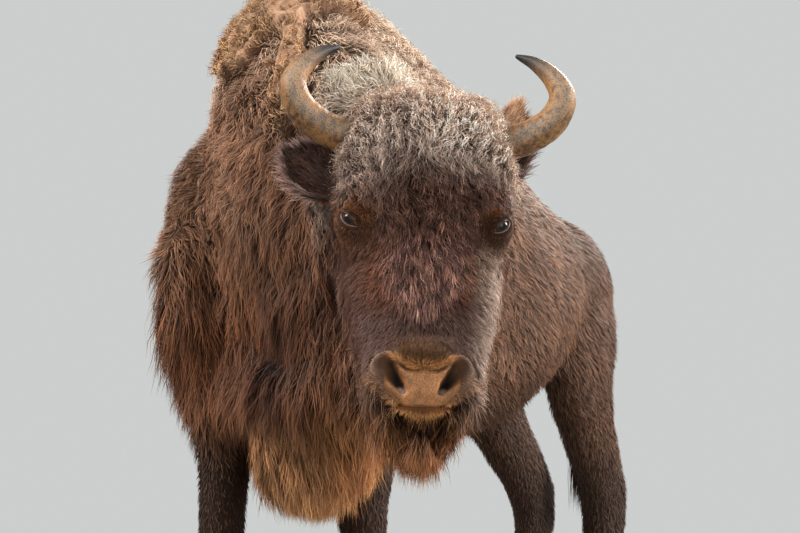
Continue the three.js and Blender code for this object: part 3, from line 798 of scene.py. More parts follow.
def mesh_piece(name, points, faces, tint, finish, slot):
    """A mesh object from arrays of points, triangles and point colours, with its material."""
    mesh = bpy.data.meshes.new(name)
    mesh.vertices.add(len(points))
    mesh.vertices.foreach_set("co", np.ascontiguousarray(points, np.float32).ravel())
    mesh.loops.add(faces.size)
    mesh.loops.foreach_set("vertex_index", np.ascontiguousarray(faces, np.int32).ravel())
    mesh.polygons.add(len(faces))
    mesh.polygons.foreach_set("loop_start", np.arange(0, faces.size, 3, dtype=np.int32))
    mesh.update(calc_edges=True)
    mesh.polygons.foreach_set("use_smooth", np.ones(len(faces), bool))
    colour = mesh.attributes.new("tint", "FLOAT_COLOR", "POINT")
    full = np.concatenate([tint, np.ones((len(points), 1))], axis=1).astype(np.float32)
    colour.data.foreach_set("color", full.ravel())
    mesh.materials.append(finish)
    piece = bpy.data.objects.new(name, mesh)
    bpy.context.scene.collection.objects.link(piece)
    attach(piece, "root")
    return piece


def two_sided(outer, inner, faces, tint):
    """Points, triangles and colours of a closed sheet: its outer faces, the inner ones turned
    over, and walls between their open edges."""
    back = faces[:, ::-1] + len(outer)
    closed = np.concatenate([faces, back, walls_of(faces, len(outer))])
    return np.concatenate([outer, inner]), closed, np.concatenate([tint, tint])


def walls_of(faces, offset):
    """Faces that join the open edges of a patch to a copy of it numbered offset higher."""
    edges = faces[:, [0, 1, 1, 2, 2, 0]].reshape(-1, 2)
    _, which, times = np.unique(np.sort(edges, axis=1), axis=0, return_inverse=True,
                                return_counts=True)
    a, b = edges[times[which] == 1].T
    return np.concatenate([np.stack([b, a, a + offset], axis=1),
                           np.stack([b, a + offset, b + offset], axis=1)])


def patch_of(mask, least):
    """The points and faces of the skin where a mask is above the least value."""
    chosen = faces[(mask[faces] > least).all(axis=1)]
    used, chosen = np.unique(chosen, return_inverse=True)
    return used, chosen.reshape(-1, 3)


print("open edges on the skin:", len(walls_of(faces, len(points))) // 2)

# %% [markdown]
# ## The coat, part one: what grows where
#
# A table gives each region of the body its hair: how long and wide a blade is, how steeply it
# rises, how much it curls, and its colours at root and tip. Each region also has a mask. The
# masks are laid over one another in the order of the table, and every value at a point is the
# weighted mean of the table's rows there, so regions fade into each other as they do on the
# animal. The undercoat on the skin takes its colour from the same table.

# %% Table of the coat
# Length mm, width mm, rise in degrees, sag, curl radius mm, blades per cm², share drawn into
# clumps, power of the passing from root to tip colour, spread of brightness; the two colours.
COAT = {
    "trunk": (32, 2.7, 28, 0.25, 1.5, 4.0, 0.3, 1.5, 0.24, (72, 47, 34), (150, 108, 82)),
    "rump": (28, 2.5, 26, 0.2, 1.0, 4.1, 0.3, 1.5, 0.20, (68, 44, 30), (124, 86, 62)),
    "belly": (40, 2.9, 30, 0.4, 2.0, 3.0, 0.4, 1.5, 0.20, (60, 40, 29), (104, 72, 52)),
    "leg": (18, 2.6, 24, 0.2, 0.6, 3.3, 0.25, 1.5, 0.18, (50, 33, 24), (90, 61, 43)),
    "shoulder": (28, 1.7, 42, 0.3, 5.0, 7.0, 0.5, 1.5, 0.26, (80, 53, 37), (178, 130, 100)),
    # hump: its pale tips are painted sunlight on the top of the hump
    "hump": (36, 2.4, 46, 0.25, 7.0, 3.8, 0.45, 1.3, 0.28, (122, 94, 74), (244, 210, 182)),
    "neck": (48, 1.9, 38, 0.5, 4.5, 7.0, 0.5, 1.5, 0.26, (74, 45, 29), (176, 124, 92)),
    # nape: near white, as painted sunlight on the hair behind the crest of the head
    "nape": (46, 2.0, 48, 0.2, 7.0, 8.0, 0.5, 0.9, 0.30, (226, 200, 170), (255, 244, 226)),
    "chest": (120, 2.1, 26, 1.1, 6.0, 4.8, 0.55, 1.5, 0.26, (60, 35, 24), (152, 98, 66)),
    # hollow: darker hair low on the chest between the forelegs, as painted shade in the hollow
    # there
    "hollow": (115, 2.1, 26, 1.1, 6.0, 4.8, 0.55, 1.5, 0.26, (40, 24, 18), (96, 56, 36)),
    "fold": (120, 2.3, 22, 1.2, 6.0, 5.6, 0.5, 1.5, 0.28, (76, 45, 28), (196, 130, 82)),
    # fringe: golden hair whose palest tips are partly painted backlight
    "fringe": (115, 2.1, 20, 1.4, 6.0, 6.8, 0.7, 1.2, 0.36, (86, 50, 31), (250, 182, 124)),
    "tail": (30, 2.0, 18, 0.4, 1.0, 8.0, 0.3, 1.5, 0.20, (74, 50, 36), (110, 78, 56)),
    "tuft": (330, 2.6, 3, 9.0, 5.0, 26.0, 0.7, 1.5, 0.25, (44, 29, 21), (98, 66, 44)),
    # jaw: pale lilac tips, partly the hair's own colour and partly painted backlight on the edge of
    # the face
    "jaw": (36, 1.5, 50, 0.4, 2.5, 13.0, 0.45, 1.4, 0.24, (56, 38, 32), (170, 134, 118)),
    "cheek": (22, 1.2, 32, 0.3, 2.0, 28.0, 0.5, 1.5, 0.28, (42, 26, 21), (108, 72, 57)),
    "ruddy": (24, 1.2, 32, 0.3, 2.0, 28.0, 0.5, 1.5, 0.28, (56, 32, 23), (152, 96, 70)),
    "curls": (28, 1.3, 50, 0.15, 4.5, 25.0, 0.55, 1.5, 0.5, (44, 29, 24), (126, 89, 74)),
    # wool: its pale tips are partly the wool's own colour and partly a painted highlight from above
    # and behind
    "wool": (38, 1.5, 56, 0.12, 6.0, 18.0, 0.5, 0.85, 0.28, (120, 95, 83), (248, 222, 204)),
    "bridge": (40, 1.15, 26, 0.3, 2.5, 32.0, 0.6, 1.5, 0.7, (30, 19, 16), (146, 104, 90)),
    "nose": (14, 1.0, 28, 0.2, 0.8, 36.0, 0.3, 1.3, 0.24, (54, 37, 32), (128, 96, 85)),
    # pale cheek: paler hair with painted rim light, on the left cheek only
    "pale cheek": (28, 1.4, 46, 0.3, 2.5, 16.0, 0.45, 1.3, 0.26, (70, 50, 42), (212, 180, 160)),
    "lids": (8, 0.8, 20, 0.1, 0.3, 50.0, 0.2, 1.5, 0.20, (54, 34, 24), (132, 86, 56)),
    "brow": (13, 1.0, 26, 0.2, 1.0, 36.0, 0.4, 1.3, 0.26, (96, 56, 31), (200, 126, 72)),
    "dome": (9, 0.85, 26, 0.1, 0.3, 74.0, 0.3, 1.5, 0.20, (58, 38, 25), (122, 84, 54)),
    "wing": (6, 0.75, 24, 0.1, 0.2, 70.0, 0.2, 1.5, 0.20, (84, 56, 42), (186, 150, 128)),
    "lips": (9, 0.85, 30, 0.2, 0.3, 66.0, 0.2, 1.2, 0.20, (150, 88, 48), (255, 184, 114)),
    "beard": (142, 1.4, 16, 1.8, 5.0, 30.0, 0.75, 4.0, 0.30, (50, 30, 21), (180, 120, 76)),
    "ear back": (22, 1.2, 26, 0.1, 1.0, 24.0, 0.3, 1.5, 0.20, (84, 52, 35), (186, 120, 80)),
    "ear inside": (24, 1.2, 30, 0.1, 1.0, 12.0, 0.4, 1.5, 0.35, (36, 23, 19), (92, 64, 52)),
    "ear tip": (26, 1.2, 26, 0.1, 1.0, 28.0, 0.4, 1.3, 0.30, (150, 98, 66), (252, 204, 164)),
    "ear rim": (34, 1.1, 32, 0.0, 1.5, 34.0, 0.25, 1.3, 0.25, (68, 48, 42), (200, 168, 158)),
    "shed": (26, 2.1, 62, 0.2, 9.0, 7.5, 0.6, 1.3, 0.28, (112, 82, 58), (204, 162, 120)),
}
ROWS = {name: number for number, name in enumerate(COAT)}
LENGTHS, RISE, DENSITY, TINTS = [0, 1, 4], 2, 5, (9, 10)  # columns of the table
NUMBERS = np.array([row[:TINTS[0]] for row in COAT.values()], float)
NUMBERS[:, LENGTHS] /= 1000
NUMBERS[:, RISE] = np.radians(NUMBERS[:, RISE])
ROOT_TINT, TIP_TINT = (
    np.array([linear(*row[column]) for row in COAT.values()]) for column in TINTS)
print(len(COAT), "regions of hair, the longest", NUMBERS[:, 0].max(), "m")

# %% [markdown]
# ## Soft random patches
#
# Nothing on an animal is even: the edges between colours wander, and the coat is lighter here
# and darker there. One cube of blurred random numbers, read at different sizes, serves for all
# of that. A noise node could do it for a colour only, and not for the length and lie of hair.

# %% Soft random patches
CLOUD = 48  # lattice points along each side of the patches' cube
CLOUD_POINTS = 2.5  # lattice points to one patch
cloud_seed = np.random.default_rng(7)
cloud_values = blur(np.pad(cloud_seed.random((CLOUD, CLOUD, CLOUD)), 2, "wrap"))[2:-2, 2:-2, 2:-2]
cloud_values = (cloud_values - cloud_values.mean()) / cloud_values.std()
cloud_field = Field(np.pad(cloud_values, (0, 1), "wrap"), 0.0, 1.0)


def cloud(place, size):
    """Smooth random patches of about the given size, mean 0 and spread about 1, repeating far
    away: the lattice is read at the place over the size."""
    return cloud_field(np.mod(place / size * CLOUD_POINTS, CLOUD))


print("patches range from", round(float(cloud_values.min()), 1), "to",
      round(float(cloud_values.max()), 1))

# %% [markdown]
# ## Bare skin and old wool
#
# Two regions are more than a row of the table: the pad of the nose, where nothing grows, and the
# patch on the right shoulder, where last winter's wool still hangs. Each gets a mask first, and
# its own piece further down.

# %% Where skin is bare and old wool hangs
PAD_MIDDLE = -0.268  # its height in the head frame
PAD_TOP, PAD_FOOT = -0.2555, -0.3000
PAD_COLOUR = (200, 137, 86)


def pad_mask(place):
    """1 on the bare pad of the nose: a rounded bar from nostril to nostril, above the lip."""
    side, back, up = mirrored(place).T
    top = PAD_TOP + 0.012 * ramp(side, 0.02, 0.05) - 0.012 * ramp(side, 0.06, 0.08)
    low = PAD_FOOT + 0.024 * ramp(side, 0.024, 0.060)
    high_enough = ramp(up, low - 0.005, low + 0.005)
    return (high_enough * fade(up, top - 0.006, top + 0.004)
            * fade(side, 0.046, 0.060) * fade(back, 0.055, 0.070))


SHED_MIDDLE, SHED_SPREAD = (-0.08, -0.69, 1.43), (0.14, 0.16, 0.13)
SHED_RIDGE = np.array([(0.02, -0.71, 1.41), (0.06, -0.76, 1.28), (0.065, -0.78, 1.17)])
SHED_BACK = -0.35  # none of it lies further back than this
SHED_LIFT = 0.026  # how far the old wool's hair starts off the skin


def shed_mask(place):
    """1 where matted old wool still hangs on the right shoulder: a torn patch and a ridge."""
    torn = 1 - away(place, SHED_MIDDLE, SHED_SPREAD) + 0.16 * cloud(place, 0.05)
    ridge = np.full(len(place), 1.0)
    for k in range(len(SHED_RIDGE) - 1):
        _, gap = from_piece(place, *SHED_RIDGE[k:k + 2])
        ridge = np.minimum(ridge, np.hypot(gap[:, 0], gap[:, 2]) + 0.15 * np.abs(gap[:, 1]))
    hanging = np.maximum(ramp(torn, 0.0, 0.10), fade(ridge, 0.014, 0.024))
    return hanging * (place[:, 1] < SHED_BACK)


print("bare or old wool on", int((pad_mask(to_head(points)) > 0.5).sum()), "and",
      int((shed_mask(points) > 0.5).sum()), "points of the skin")

# %% [markdown]
# ## Masks of the regions
#
# Painting these masks by hand would tie them to one mesh. As formulas of the place they stay
# true when the mesh gets finer, and the same formulas serve each single blade later. The body's
# regions are given along the animal's length and height. The face's are given in the head frame,
# by how far to the side, back and up a point is. The ears' are given along and across each ear.

# %% Masks of the body
NECK_EGG = (0.10, -0.56, 1.20), (0.22, 0.30, 0.36)  # middle and half axes, in the world
NAPE_EGG = (-0.05, 0.15, 0.285), (0.17, 0.13, 0.085)  # in the head frame


def body_masks(place, normal):
    """Masks by length and height. Soft patches move some edges up and down."""
    x, y, z = place.T
    fold = fade(fold_level(place), 0.012, 0.06)
    neck = away(place, *NECK_EGG)
    patchy = 0.03 * cloud(place, 0.12)
    # painted sunlight: the pale hump reaches lower on the animal's left than on its right
    height = z - 0.16 * ramp(-x, -0.1, 0.12) + 0.12 * ramp(x, 0.12, 0.30) + patchy
    return {
        "trunk": np.ones(len(place)),
        "rump": ramp(y, 0.3, 0.6),
        "belly": ramp(-normal[:, 2], 0.2, 0.8) * ramp(z, 0.5, 0.6),
        "leg": fade(z, 0.50, 0.80),
        "shoulder": fade(y, -0.10, 0.15) * ramp(z, 0.65, 0.85),
        "hump": ramp(height, 1.04, 1.32) * fade(y, 0.0, 0.5),
        "neck": fade(neck, 0.85, 1.15) * (1 - 0.9 * ramp(z, 1.05, 1.30)),
        "chest": fade(y, -0.42, -0.30) * fade(z, 0.88, 1.06) * ramp(z, 0.55, 0.85),
        # painted shade in the hollow of the chest
        "hollow": (fade(y, -0.50, -0.40) * bell(x - 0.01, 0.12) * bell(z - 0.76, 0.18)
                   * ramp(z, 0.55, 0.65)),
        "fold": fold * fade(z, 0.84, 0.96) * ramp(x + 0.5 * patchy, 0.02, 0.10),
        "fringe": fold * fade(z + patchy, 0.48, 0.76),
        # painted sunlight on the hair behind the crest
        "nape": ramp(1 - away(to_head(place), *NAPE_EGG) + patchy, 0, 0.5),
        "shed": shed_mask(place),
    }


print("body:", {name: int(mask.sum()) for name, mask in body_masks(points, normals).items()})

# %% Masks of the head
BROW_PLACE = EYE_PLACE + (-0.014, -0.014, 0.022)  # red-brown hair above the eye's inner corner
DOME_HEIGHT, BAND_HEIGHT, LIP_HEIGHT = -0.236, -0.2485, -0.3105  # above the pad, on it, below


def head_masks(place):
    """Masks by how far to the side, back and up a point is on the head."""
    head_place = to_head(place)
    across, back, up = head_place.T
    both = mirrored(head_place)
    side = both[:, 0]
    head = in_head(place)
    brow = 0.030 * ramp(side, 0.055, 0.10)
    beard_top = -up + 0.6 * np.maximum(back - 0.045, 0)
    tuft_end = 0.168 - 0.9 * side + 0.010 * cloud(head_place, 0.03)
    patchy = 0.03 * cloud(place, 0.12)
    dome = np.hypot(across / 1.2, up - DOME_HEIGHT)
    lip = (head * bell(up - LIP_HEIGHT - 8 * side ** 2, 0.0075) * fade(back, 0.05, 0.09)
           * (1 - 0.75 * ramp(side, 0.035, 0.06)))
    band = up - (BAND_HEIGHT + 0.016 * ramp(side, 0.01, 0.055))
    band = head * bell(band, 0.0048) * fade(side, 0.05, 0.06) * fade(back, 0.03, 0.06)
    return {
        "jaw": head * ramp(back, 0.04, 0.12) * ramp(-up, -0.05, 0.02),
        "cheek": head * fade(back, 0.07, 0.13) * fade(up, 0.0, 0.06),
        # painted rim light: the pale cheek grows on the animal's left side only
        "pale cheek": (head * ramp(across, 0.052, 0.086) * ramp(back, -0.02, 0.05)
                       * fade(back, 0.10, 0.16) * ramp(-up, 0.0, 0.05) * fade(-up, 0.27, 0.32)),
        "ruddy": (head * bell(side - 0.058, 0.024) * bell(up + 0.085, 0.05)
                  * fade(back, 0.03, 0.08)),
        "curls": head * ramp(up - brow, -0.045, 0.005) * fade(back, 0.15, 0.20),
        "wool": (head * ramp(up - 0.5 * brow + patchy * 0.5, 0.022, 0.122)
                 * fade(back, 0.19, 0.26)),
        "bridge": (head * fade(side, 0.035, 0.075) * fade(back, 0.02, 0.06)
                   * ramp(-up, -0.01, 0.05) * fade(-up, tuft_end - 0.02, tuft_end)),
        "nose": head * ramp(-up, 0.125, 0.17) * fade(back, 0.04, 0.08),
        "lids": fade(away(both, EYE_PLACE), 0.025, 0.050) * head,
        "brow": head * 0.85 * fade(away(both, BROW_PLACE), 0.008, 0.026),
        "dome": head * fade(dome, 0.034, 0.043) * fade(back, 0.04, 0.07),
        "wing": (head * fade(nostril_distance(head_place), 0.010, 0.018)
                 * ramp(side, 0.03, 0.045)),
        "lips": np.maximum(lip, band),
        "beard": (head * ramp(beard_top + 8 * side ** 2, 0.313, 0.320) * fade(back, 0.17, 0.20)
                  * fade(side, 0.068, 0.082)),
    }


print("head:", {name: int(mask.sum()) for name, mask in head_masks(points).items()})

# %% Masks of the ears, and every region's share
def ear_masks(place, normal, kind):
    """Masks along and across each ear. Only the left one has a pale tip, which is a painted
    highlight.
    """
    head_place = to_head(place)
    masks = dict.fromkeys(("ear back", "ear inside", "ear tip", "ear rim"), 0)
    for number, name in enumerate(SIDES, 1):
        root, along, sideways, facing = ear_frame(name)
        here = (kind == number).astype(float)
        reach = head_place - root
        t = np.clip(reach @ along / EAR_LENGTH, 0, 1)
        inner = ramp((normal @ HEAD_AXES) @ facing, -0.1, 0.3)
        edge = ramp(np.abs(reach @ sideways) / np.maximum(ear_width(t), 1e-4), 0.88, 0.98)
        end = np.maximum(ramp(t, 0.93, 0.99), ramp(t, 0.70, 0.90) * (1 - inner))
        rim = np.maximum(edge, end) * ramp(t, 0.12, 0.3)
        masks["ear back"] = here + masks["ear back"]
        masks["ear inside"] = here * inner + masks["ear inside"]
        # a painted highlight on the tip of the left ear only
        masks["ear tip"] = here * ramp(t, 0.50, 0.70) * (name == "left") + masks["ear tip"]
        masks["ear rim"] = here * rim * (1 - 0.7 * masks["ear tip"]) + masks["ear rim"]
    return masks


def region_weights(place, normal, kind):
    """Each region's share at each point, one column per row of the table. A region covers
    those before it: earlier shares are multiplied by 1 - mask, and its own share is the mask."""
    masks = {**body_masks(place, normal), **head_masks(place)}
    masks = {name: mask * (kind == 0) for name, mask in masks.items()}
    masks.update(ear_masks(place, normal, kind))
    masks["tail"] = (kind == 3).astype(float)
    masks["tuft"] = (kind == 3) * fade(place[:, 2], 0.84, 0.96)
    shares = np.zeros((len(place), len(COAT)))
    for number, name in enumerate(COAT):
        shares *= 1 - masks[name][:, None]
        shares[:, number] = masks[name]
    return shares / np.maximum(shares.sum(axis=1), 1e-6)[:, None]


skin_shares = region_weights(points, normals, kind)
print("shares add up to", skin_shares.sum(axis=1).min().round(3), "or more")

# %% [markdown]
# ## The skin itself
#
# Between the blades of hair the undercoat shows, so the skin is a dark, dull undercoat with the
# colours of the table, its darkness partly painted shade for the gaps between the blades, and bare
# only at nose, nostrils and lips. It also gets an unwrap. Every blade of hair later takes the spot
# on that unwrap where it is rooted, which spares some hundred thousand blades an unwrap of their
# own.

# %% The skin itself
# the nostrils' dark moist skin, with painted shade deep inside and painted light on the outer wall
NOSTRIL_DARK, NOSTRIL_LIT_WALL = linear(20, 14, 12), linear(108, 78, 56)
# MOUTH_SHADE is painted shade: a dark line along the slit between the lips
# WET_HIGHLIGHT is a painted highlight: the shine of wet skin, painted as a pale spot on rough skin
MOUTH_SHADE, WET_HIGHLIGHT = linear(26, 16, 12), linear(160, 148, 144)
WET_SPOT = (0.031, -0.280)  # across and up: where each nostril runs out onto the pad

head_place = to_head(points)
both = mirrored(head_place)
side, back, _ = both.T
body = kind == 0
# the undercoat is a little darker than the roots, partly as painted shade between the blades,
# in soft patches
tint = skin_shares @ (ROOT_TINT * 0.6 + TIP_TINT * 0.08)
tint = tint * (1 + 0.10 * cloud(points, 0.12))[:, None]
pad_share = ramp(pad_mask(head_place) * body, 0.0, 0.2)
tint = mix(tint, linear(*PAD_COLOUR) * 0.7, pad_share[:, None])
# painted shade inside each nostril, turning to a painted lit colour towards the outer wall
hole = fade(nostril_distance(head_place), -0.006, 0.002) * body
tint = mix(tint, mix(NOSTRIL_DARK, NOSTRIL_LIT_WALL, ramp(side, 0.038, 0.062)[:, None]), hole[:, None])
# painted shade in the slit of the mouth
mouth_line = bell(mouth_distance(head_place), 0.003) * (back < 0.10) * in_head(points) * body
tint = mix(tint, MOUTH_SHADE, mouth_line[:, None])
# a painted highlight on the wet skin where each nostril runs out onto the pad
wet = 0.8 * fade(away(both[:, [0, 2]], WET_SPOT), 0.0, 0.009) * (back < 0.06) * body
tint = mix(tint, WET_HIGHLIGHT, wet[:, None])
skin = mesh_piece("skin", points, faces, tint, SKIN, "body_coat")
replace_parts(skin, *FLESH, "ear_left", "ear_right", "tail")
print("skin:", len(points), "points,", int((wet > 0.1).sum()), "of them wet")

# %% Unwrap of the skin
bpy.context.view_layer.objects.active = skin
skin.select_set(True)
bpy.ops.object.mode_set(mode="EDIT")
bpy.ops.mesh.select_all(action="SELECT")
bpy.ops.uv.smart_project(angle_limit=math.radians(70), island_margin=0.001)
bpy.ops.object.mode_set(mode="OBJECT")
skin.select_set(False)
skin.data.uv_layers[0].name = "OFBake"
skin_uv = np.empty(len(faces) * 6, np.float32)
skin.data.uv_layers[0].data.foreach_get("uv", skin_uv)
skin_uv = skin_uv.reshape(-1, 3, 2)
corner = np.empty(len(faces) * 3, np.int32)
skin.data.loops.foreach_get("vertex_index", corner)
assert (corner.reshape(-1, 3) == faces).all()
print("unwrapped", f"{time.time() - started:.1f} s")

# %% [markdown]
# ## The coat, part two: which way the hair lies
#
# Hair runs from the nose up the face, from the face over the neck to the trunk, and down the
# legs. A direction is given for each region and mixed with the same shares as the lengths, then
# laid flat against the skin.

# %% Lie of the hair
SWIRLS = {"nape": 0.35, "wool": 0.32, "curls": 0.3, "hump": 0.35, "shoulder": 0.55,
          "neck": 0.3, "shed": 0.6, "bridge": 0.12}
SWIRL = np.array([SWIRLS.get(name, 0.05) for name in COAT])  # how much the lie wanders
SWIRL_SIZE = 0.035


BODY_LIE = {  # in the world
    "trunk": (0.1, 0.75, -0.75), "rump": (0.1, 0.6, -0.9), "belly": (0, 0.9, -0.5),
    "leg": (0, 0.15, -1), "shoulder": (-0.1, 0.35, -1), "hump": (-0.15, 0.5, -0.8),
    "neck": (-0.55, 0.35, -0.95), "chest": (0, 0.1, -1), "hollow": (0, 0.1, -1),
    "fold": (0, 0.12, -1), "fringe": (0, 0.1, -1), "shed": (-0.1, 0.3, -1),
    "tail": (0, 0, -1), "tuft": (0, 0.02, -1),
}


def unit(vectors):
    """Vectors brought to length one."""
    return vectors / np.maximum(np.linalg.norm(vectors, axis=1), 1e-9)[:, None]


def flat_on(normal, vectors):
    """Vectors less their part along the normal."""
    return vectors - (vectors * normal).sum(axis=1)[:, None] * normal


def hair_lie(place, normal, kind, shares):
    """The way hair points along the skin: the shares' mean of the regions' directions, less
    its part along the normal."""
    head_place = to_head(place)
    across, back, up = head_place.T
    side = np.sign(across)

    def on_head(x, y, z):
        parts = np.broadcast_arrays(x, y, z, across)[:3]
        return unit(np.stack(parts, axis=1).astype(float)) @ HEAD_AXES.T

    from_eye = mirrored(head_place) - EYE_PLACE
    lids = on_head(from_eye[:, 0] * side + 0.02 * side, from_eye[:, 1] + 0.02,
                   from_eye[:, 2] - 0.01)
    dome = on_head(across, back - 0.01, up - PAD_MIDDLE + 0.02)
    jaw = on_head(side * 0.8, 0.15, -0.65)
    lie = {
        "nape": on_head(across * 4, 0.5, 1.0),
        "jaw": jaw, "pale cheek": jaw, "lids": lids, "brow": lids, "dome": dome, "wing": dome,
        "cheek": on_head(side * 0.55, 0.7, -0.55),
        "ruddy": on_head(side * 0.45, 0.5, -0.75),
        "curls": on_head(across * 2.5, 0.0, -0.9),
        "wool": on_head(across * 2.5, 4 * (back - 0.11), -0.9),
        "bridge": on_head(across * 4, 0.0, -0.9),
        "nose": on_head(across * 12, 0.2, -0.8),
        "lips": on_head(across * 0.8, 0.04, np.where(up < -0.29, -0.05, up - PAD_MIDDLE)),
        "beard": on_head(-across * 3.4, -0.1, -1),
    }
    for name, direction in BODY_LIE.items():
        lie[name] = np.array([direction], float)
    total = sum(shares[:, number, None] * lie[name] for number, name in enumerate(COAT)
                if name in lie)
    for number, name in enumerate(SIDES, 1):
        root, along, sideways, _ = ear_frame(name)
        off = (head_place - root) @ sideways / EAR_HALF_WIDTH
        here = kind == number
        total[here] = (along + (0.9 * off[:, None]) * sideways)[here] @ HEAD_AXES.T
    swirl = np.stack([cloud(place + shift, SWIRL_SIZE) for shift in (0.0, 0.7, 1.9)], axis=1)
    total += swirl * (shares @ SWIRL)[:, None]
    return unit(flat_on(normal, total))


sample = slice(None, None, 100)
lie = hair_lie(points[sample], normals[sample], kind[sample], skin_shares[sample])
print("of the hair's lie,", round(float((lie[:, 2] < 0).mean()), 2), "points downwards")


# %% [markdown]
# ## The coat, part three: blades
#
# Each blade is a flat strip of a few triangles that starts just under the skin, rises, leans
# over along the lie, sags a little and ends in a point. Blades near each other are drawn into
# clumps, which is what makes fur look like fur and not like grass. Real hair strands would be
# far too many, and a texture of fur would look painted on.

# %% Blades
CELL_MIX = np.array([[12.99, 39.35, 73.16], [78.23, 11.14, 52.24], [37.72, 83.16, 9.15]])
CELL_SCATTER = 43758.5453  # times a sine, its decimals look random but belong to the cell
SINK = 0.0015  # the root's depth under the skin
SWAY_SEED, SWAY, CLUMP_SWAY = 3, 0.16, 0.55  # how far a blade and a whole clump turn off the lie


def clump_heart(place, size):
    """The heart of the clump each point belongs to: the middle of its lattice cell of the given
    size, moved by up to 0.4 of a cell by three numbers from 0 to 1 that belong to the cell."""
    cell = np.floor(place / size)
    shift = np.mod(np.sin(cell @ CELL_MIX) * CELL_SCATTER, 1.0)
    return (cell + 0.5 + 0.8 * (shift - 0.5)) * size, shift


def blades(root, normal, lie, length, width, rise, fall, curl, clump, size, steps, random):
    """Corner points of blades, (blades, 2 steps + 1, 3). The middle line is the sum of steps
    along cos(a) lie + sin(a) normal - fall (t + 0.15) up, where a falls from the rise to a
    third of it. A curl adds r t^0.6 (cos f side + sin f normal) with f = phase + turns t, and
    the clump adds its pull times t^1.4. The corners lie half a width to each side, and the
    width falls as (1 - t²)^0.7."""
    count = len(root)
    heart, shift = clump_heart(root, size)
    to_heart = flat_on(normal, heart - root)
    sway = np.random.default_rng(SWAY_SEED).normal(0, 1, (count, 3)) * SWAY
    lie = unit(flat_on(normal, lie + (sway + (shift - 0.5) * CLUMP_SWAY)))
    side = np.cross(lie, normal)
    angle = rise * random.uniform(0.6, 1.3, count)
    phase = 2 * np.pi * shift[:, 0] + random.normal(0, 0.5, count)
    turns = (5.0 + 3.0 * shift[:, 1]) * np.where(shift[:, 2] > 0.5, 1, -1)
    roll = random.uniform(-0.6, 0.6, count)
    flat = np.cos(roll)[:, None] * side + np.sin(roll)[:, None] * normal
    at = root - SINK * normal
    corners = []
    for k in range(steps + 1):
        t = k / steps
        turned = phase + turns * t
        curve = (curl * t ** 0.6)[:, None] * (
            np.cos(turned)[:, None] * side + np.sin(turned)[:, None] * normal)
        here = at + curve + (clump * t ** 1.4)[:, None] * to_heart
        half = (0.5 * width * max(1 - t ** 2, 0) ** 0.7)[:, None] * flat
        corners += [here - half, here + half] if k < steps else [here]
        bend = angle * (1 - 0.66 * t)
        ahead = np.cos(bend)[:, None] * lie + np.sin(bend)[:, None] * normal
        ahead[:, 2] -= fall * (t + 0.15)
        at = at + unit(ahead) * (length / steps)[:, None]
    return np.stack(corners, axis=1)


def blade_faces(count, steps):
    """Triangles of the strips: two for each step and one at the tip."""
    one = []
    for k in range(steps - 1):
        a = 2 * k
        one += [(a, a + 1, a + 3), (a, a + 3, a + 2)]
    one.append((2 * steps - 2, 2 * steps - 1, 2 * steps))
    base = np.arange(count)[:, None, None] * (2 * steps + 1)
    return (base + np.array(one)).reshape(-1, 3)


print("one blade of three steps has", len(blade_faces(1, 3)), "triangles")

# %% [markdown]
# ## The coat, part four: how much grows where
#
# How many hairs a patch of skin gets is its area times the density of its regions. The bare pad,
# the nostrils, the slit of the mouth and the edges of the lids get none. Each piece of the coat
# then takes the faces whose main region is its own, so that every face is grown once.

# %% Which faces grow how much hair
BARE_NOSTRIL, BARE_MOUTH, BARE_LID = 0.002, 0.0034, math.radians(5)  # bare this near to each

corner_points = points[faces]
face_middle = corner_points.mean(axis=1)
face_sides = corner_points[:, 1:] - corner_points[:, :1]
face_cross = np.cross(face_sides[:, 0], face_sides[:, 1])
face_area = np.linalg.norm(face_cross, axis=1) / 2
face_normal = unit(face_cross)
face_kind = kind[faces[:, 0]]
face_shares = region_weights(face_middle, face_normal, face_kind)
face_numbers = face_shares @ NUMBERS
face_head = to_head(face_middle)
_, lid_along, lid_across, lid_off = eye_angles(mirrored(face_head))
ball_gap = away(mirrored(face_head), EYE_PLACE)
on_body = face_kind == 0
bare = pad_mask(face_head) >= 0.5
bare |= (nostril_distance(face_head) < BARE_NOSTRIL) & on_body
bare |= (np.abs(mouth_distance(face_head)) < BARE_MOUTH) & (face_head[:, 1] < 0.10) & on_body
bare |= (lid_distance(lid_along, lid_across) < BARE_LID) & (ball_gap < 0.03) & (lid_off < 1.5)
growing = face_area * 1e4 * face_numbers[:, DENSITY] * ~bare  # 1e4 square centimetres to one m²
print("hair wanted:", {name: int((growing * face_shares[:, n]).sum()) for name, n in ROWS.items()})

# %% Growing one piece of the coat
ROOT_SHADE = 0.55  # little light reaches the roots, so they are darker still
BEARD_HALF_WIDTH = 0.07  # the beard's hair is shorter towards its sides
SHORTEST = 0.01  # of the hair that is cut off at a height
SEAT_HALF = 0.0015  # half the patch that a blade has on the unwrap of the skin


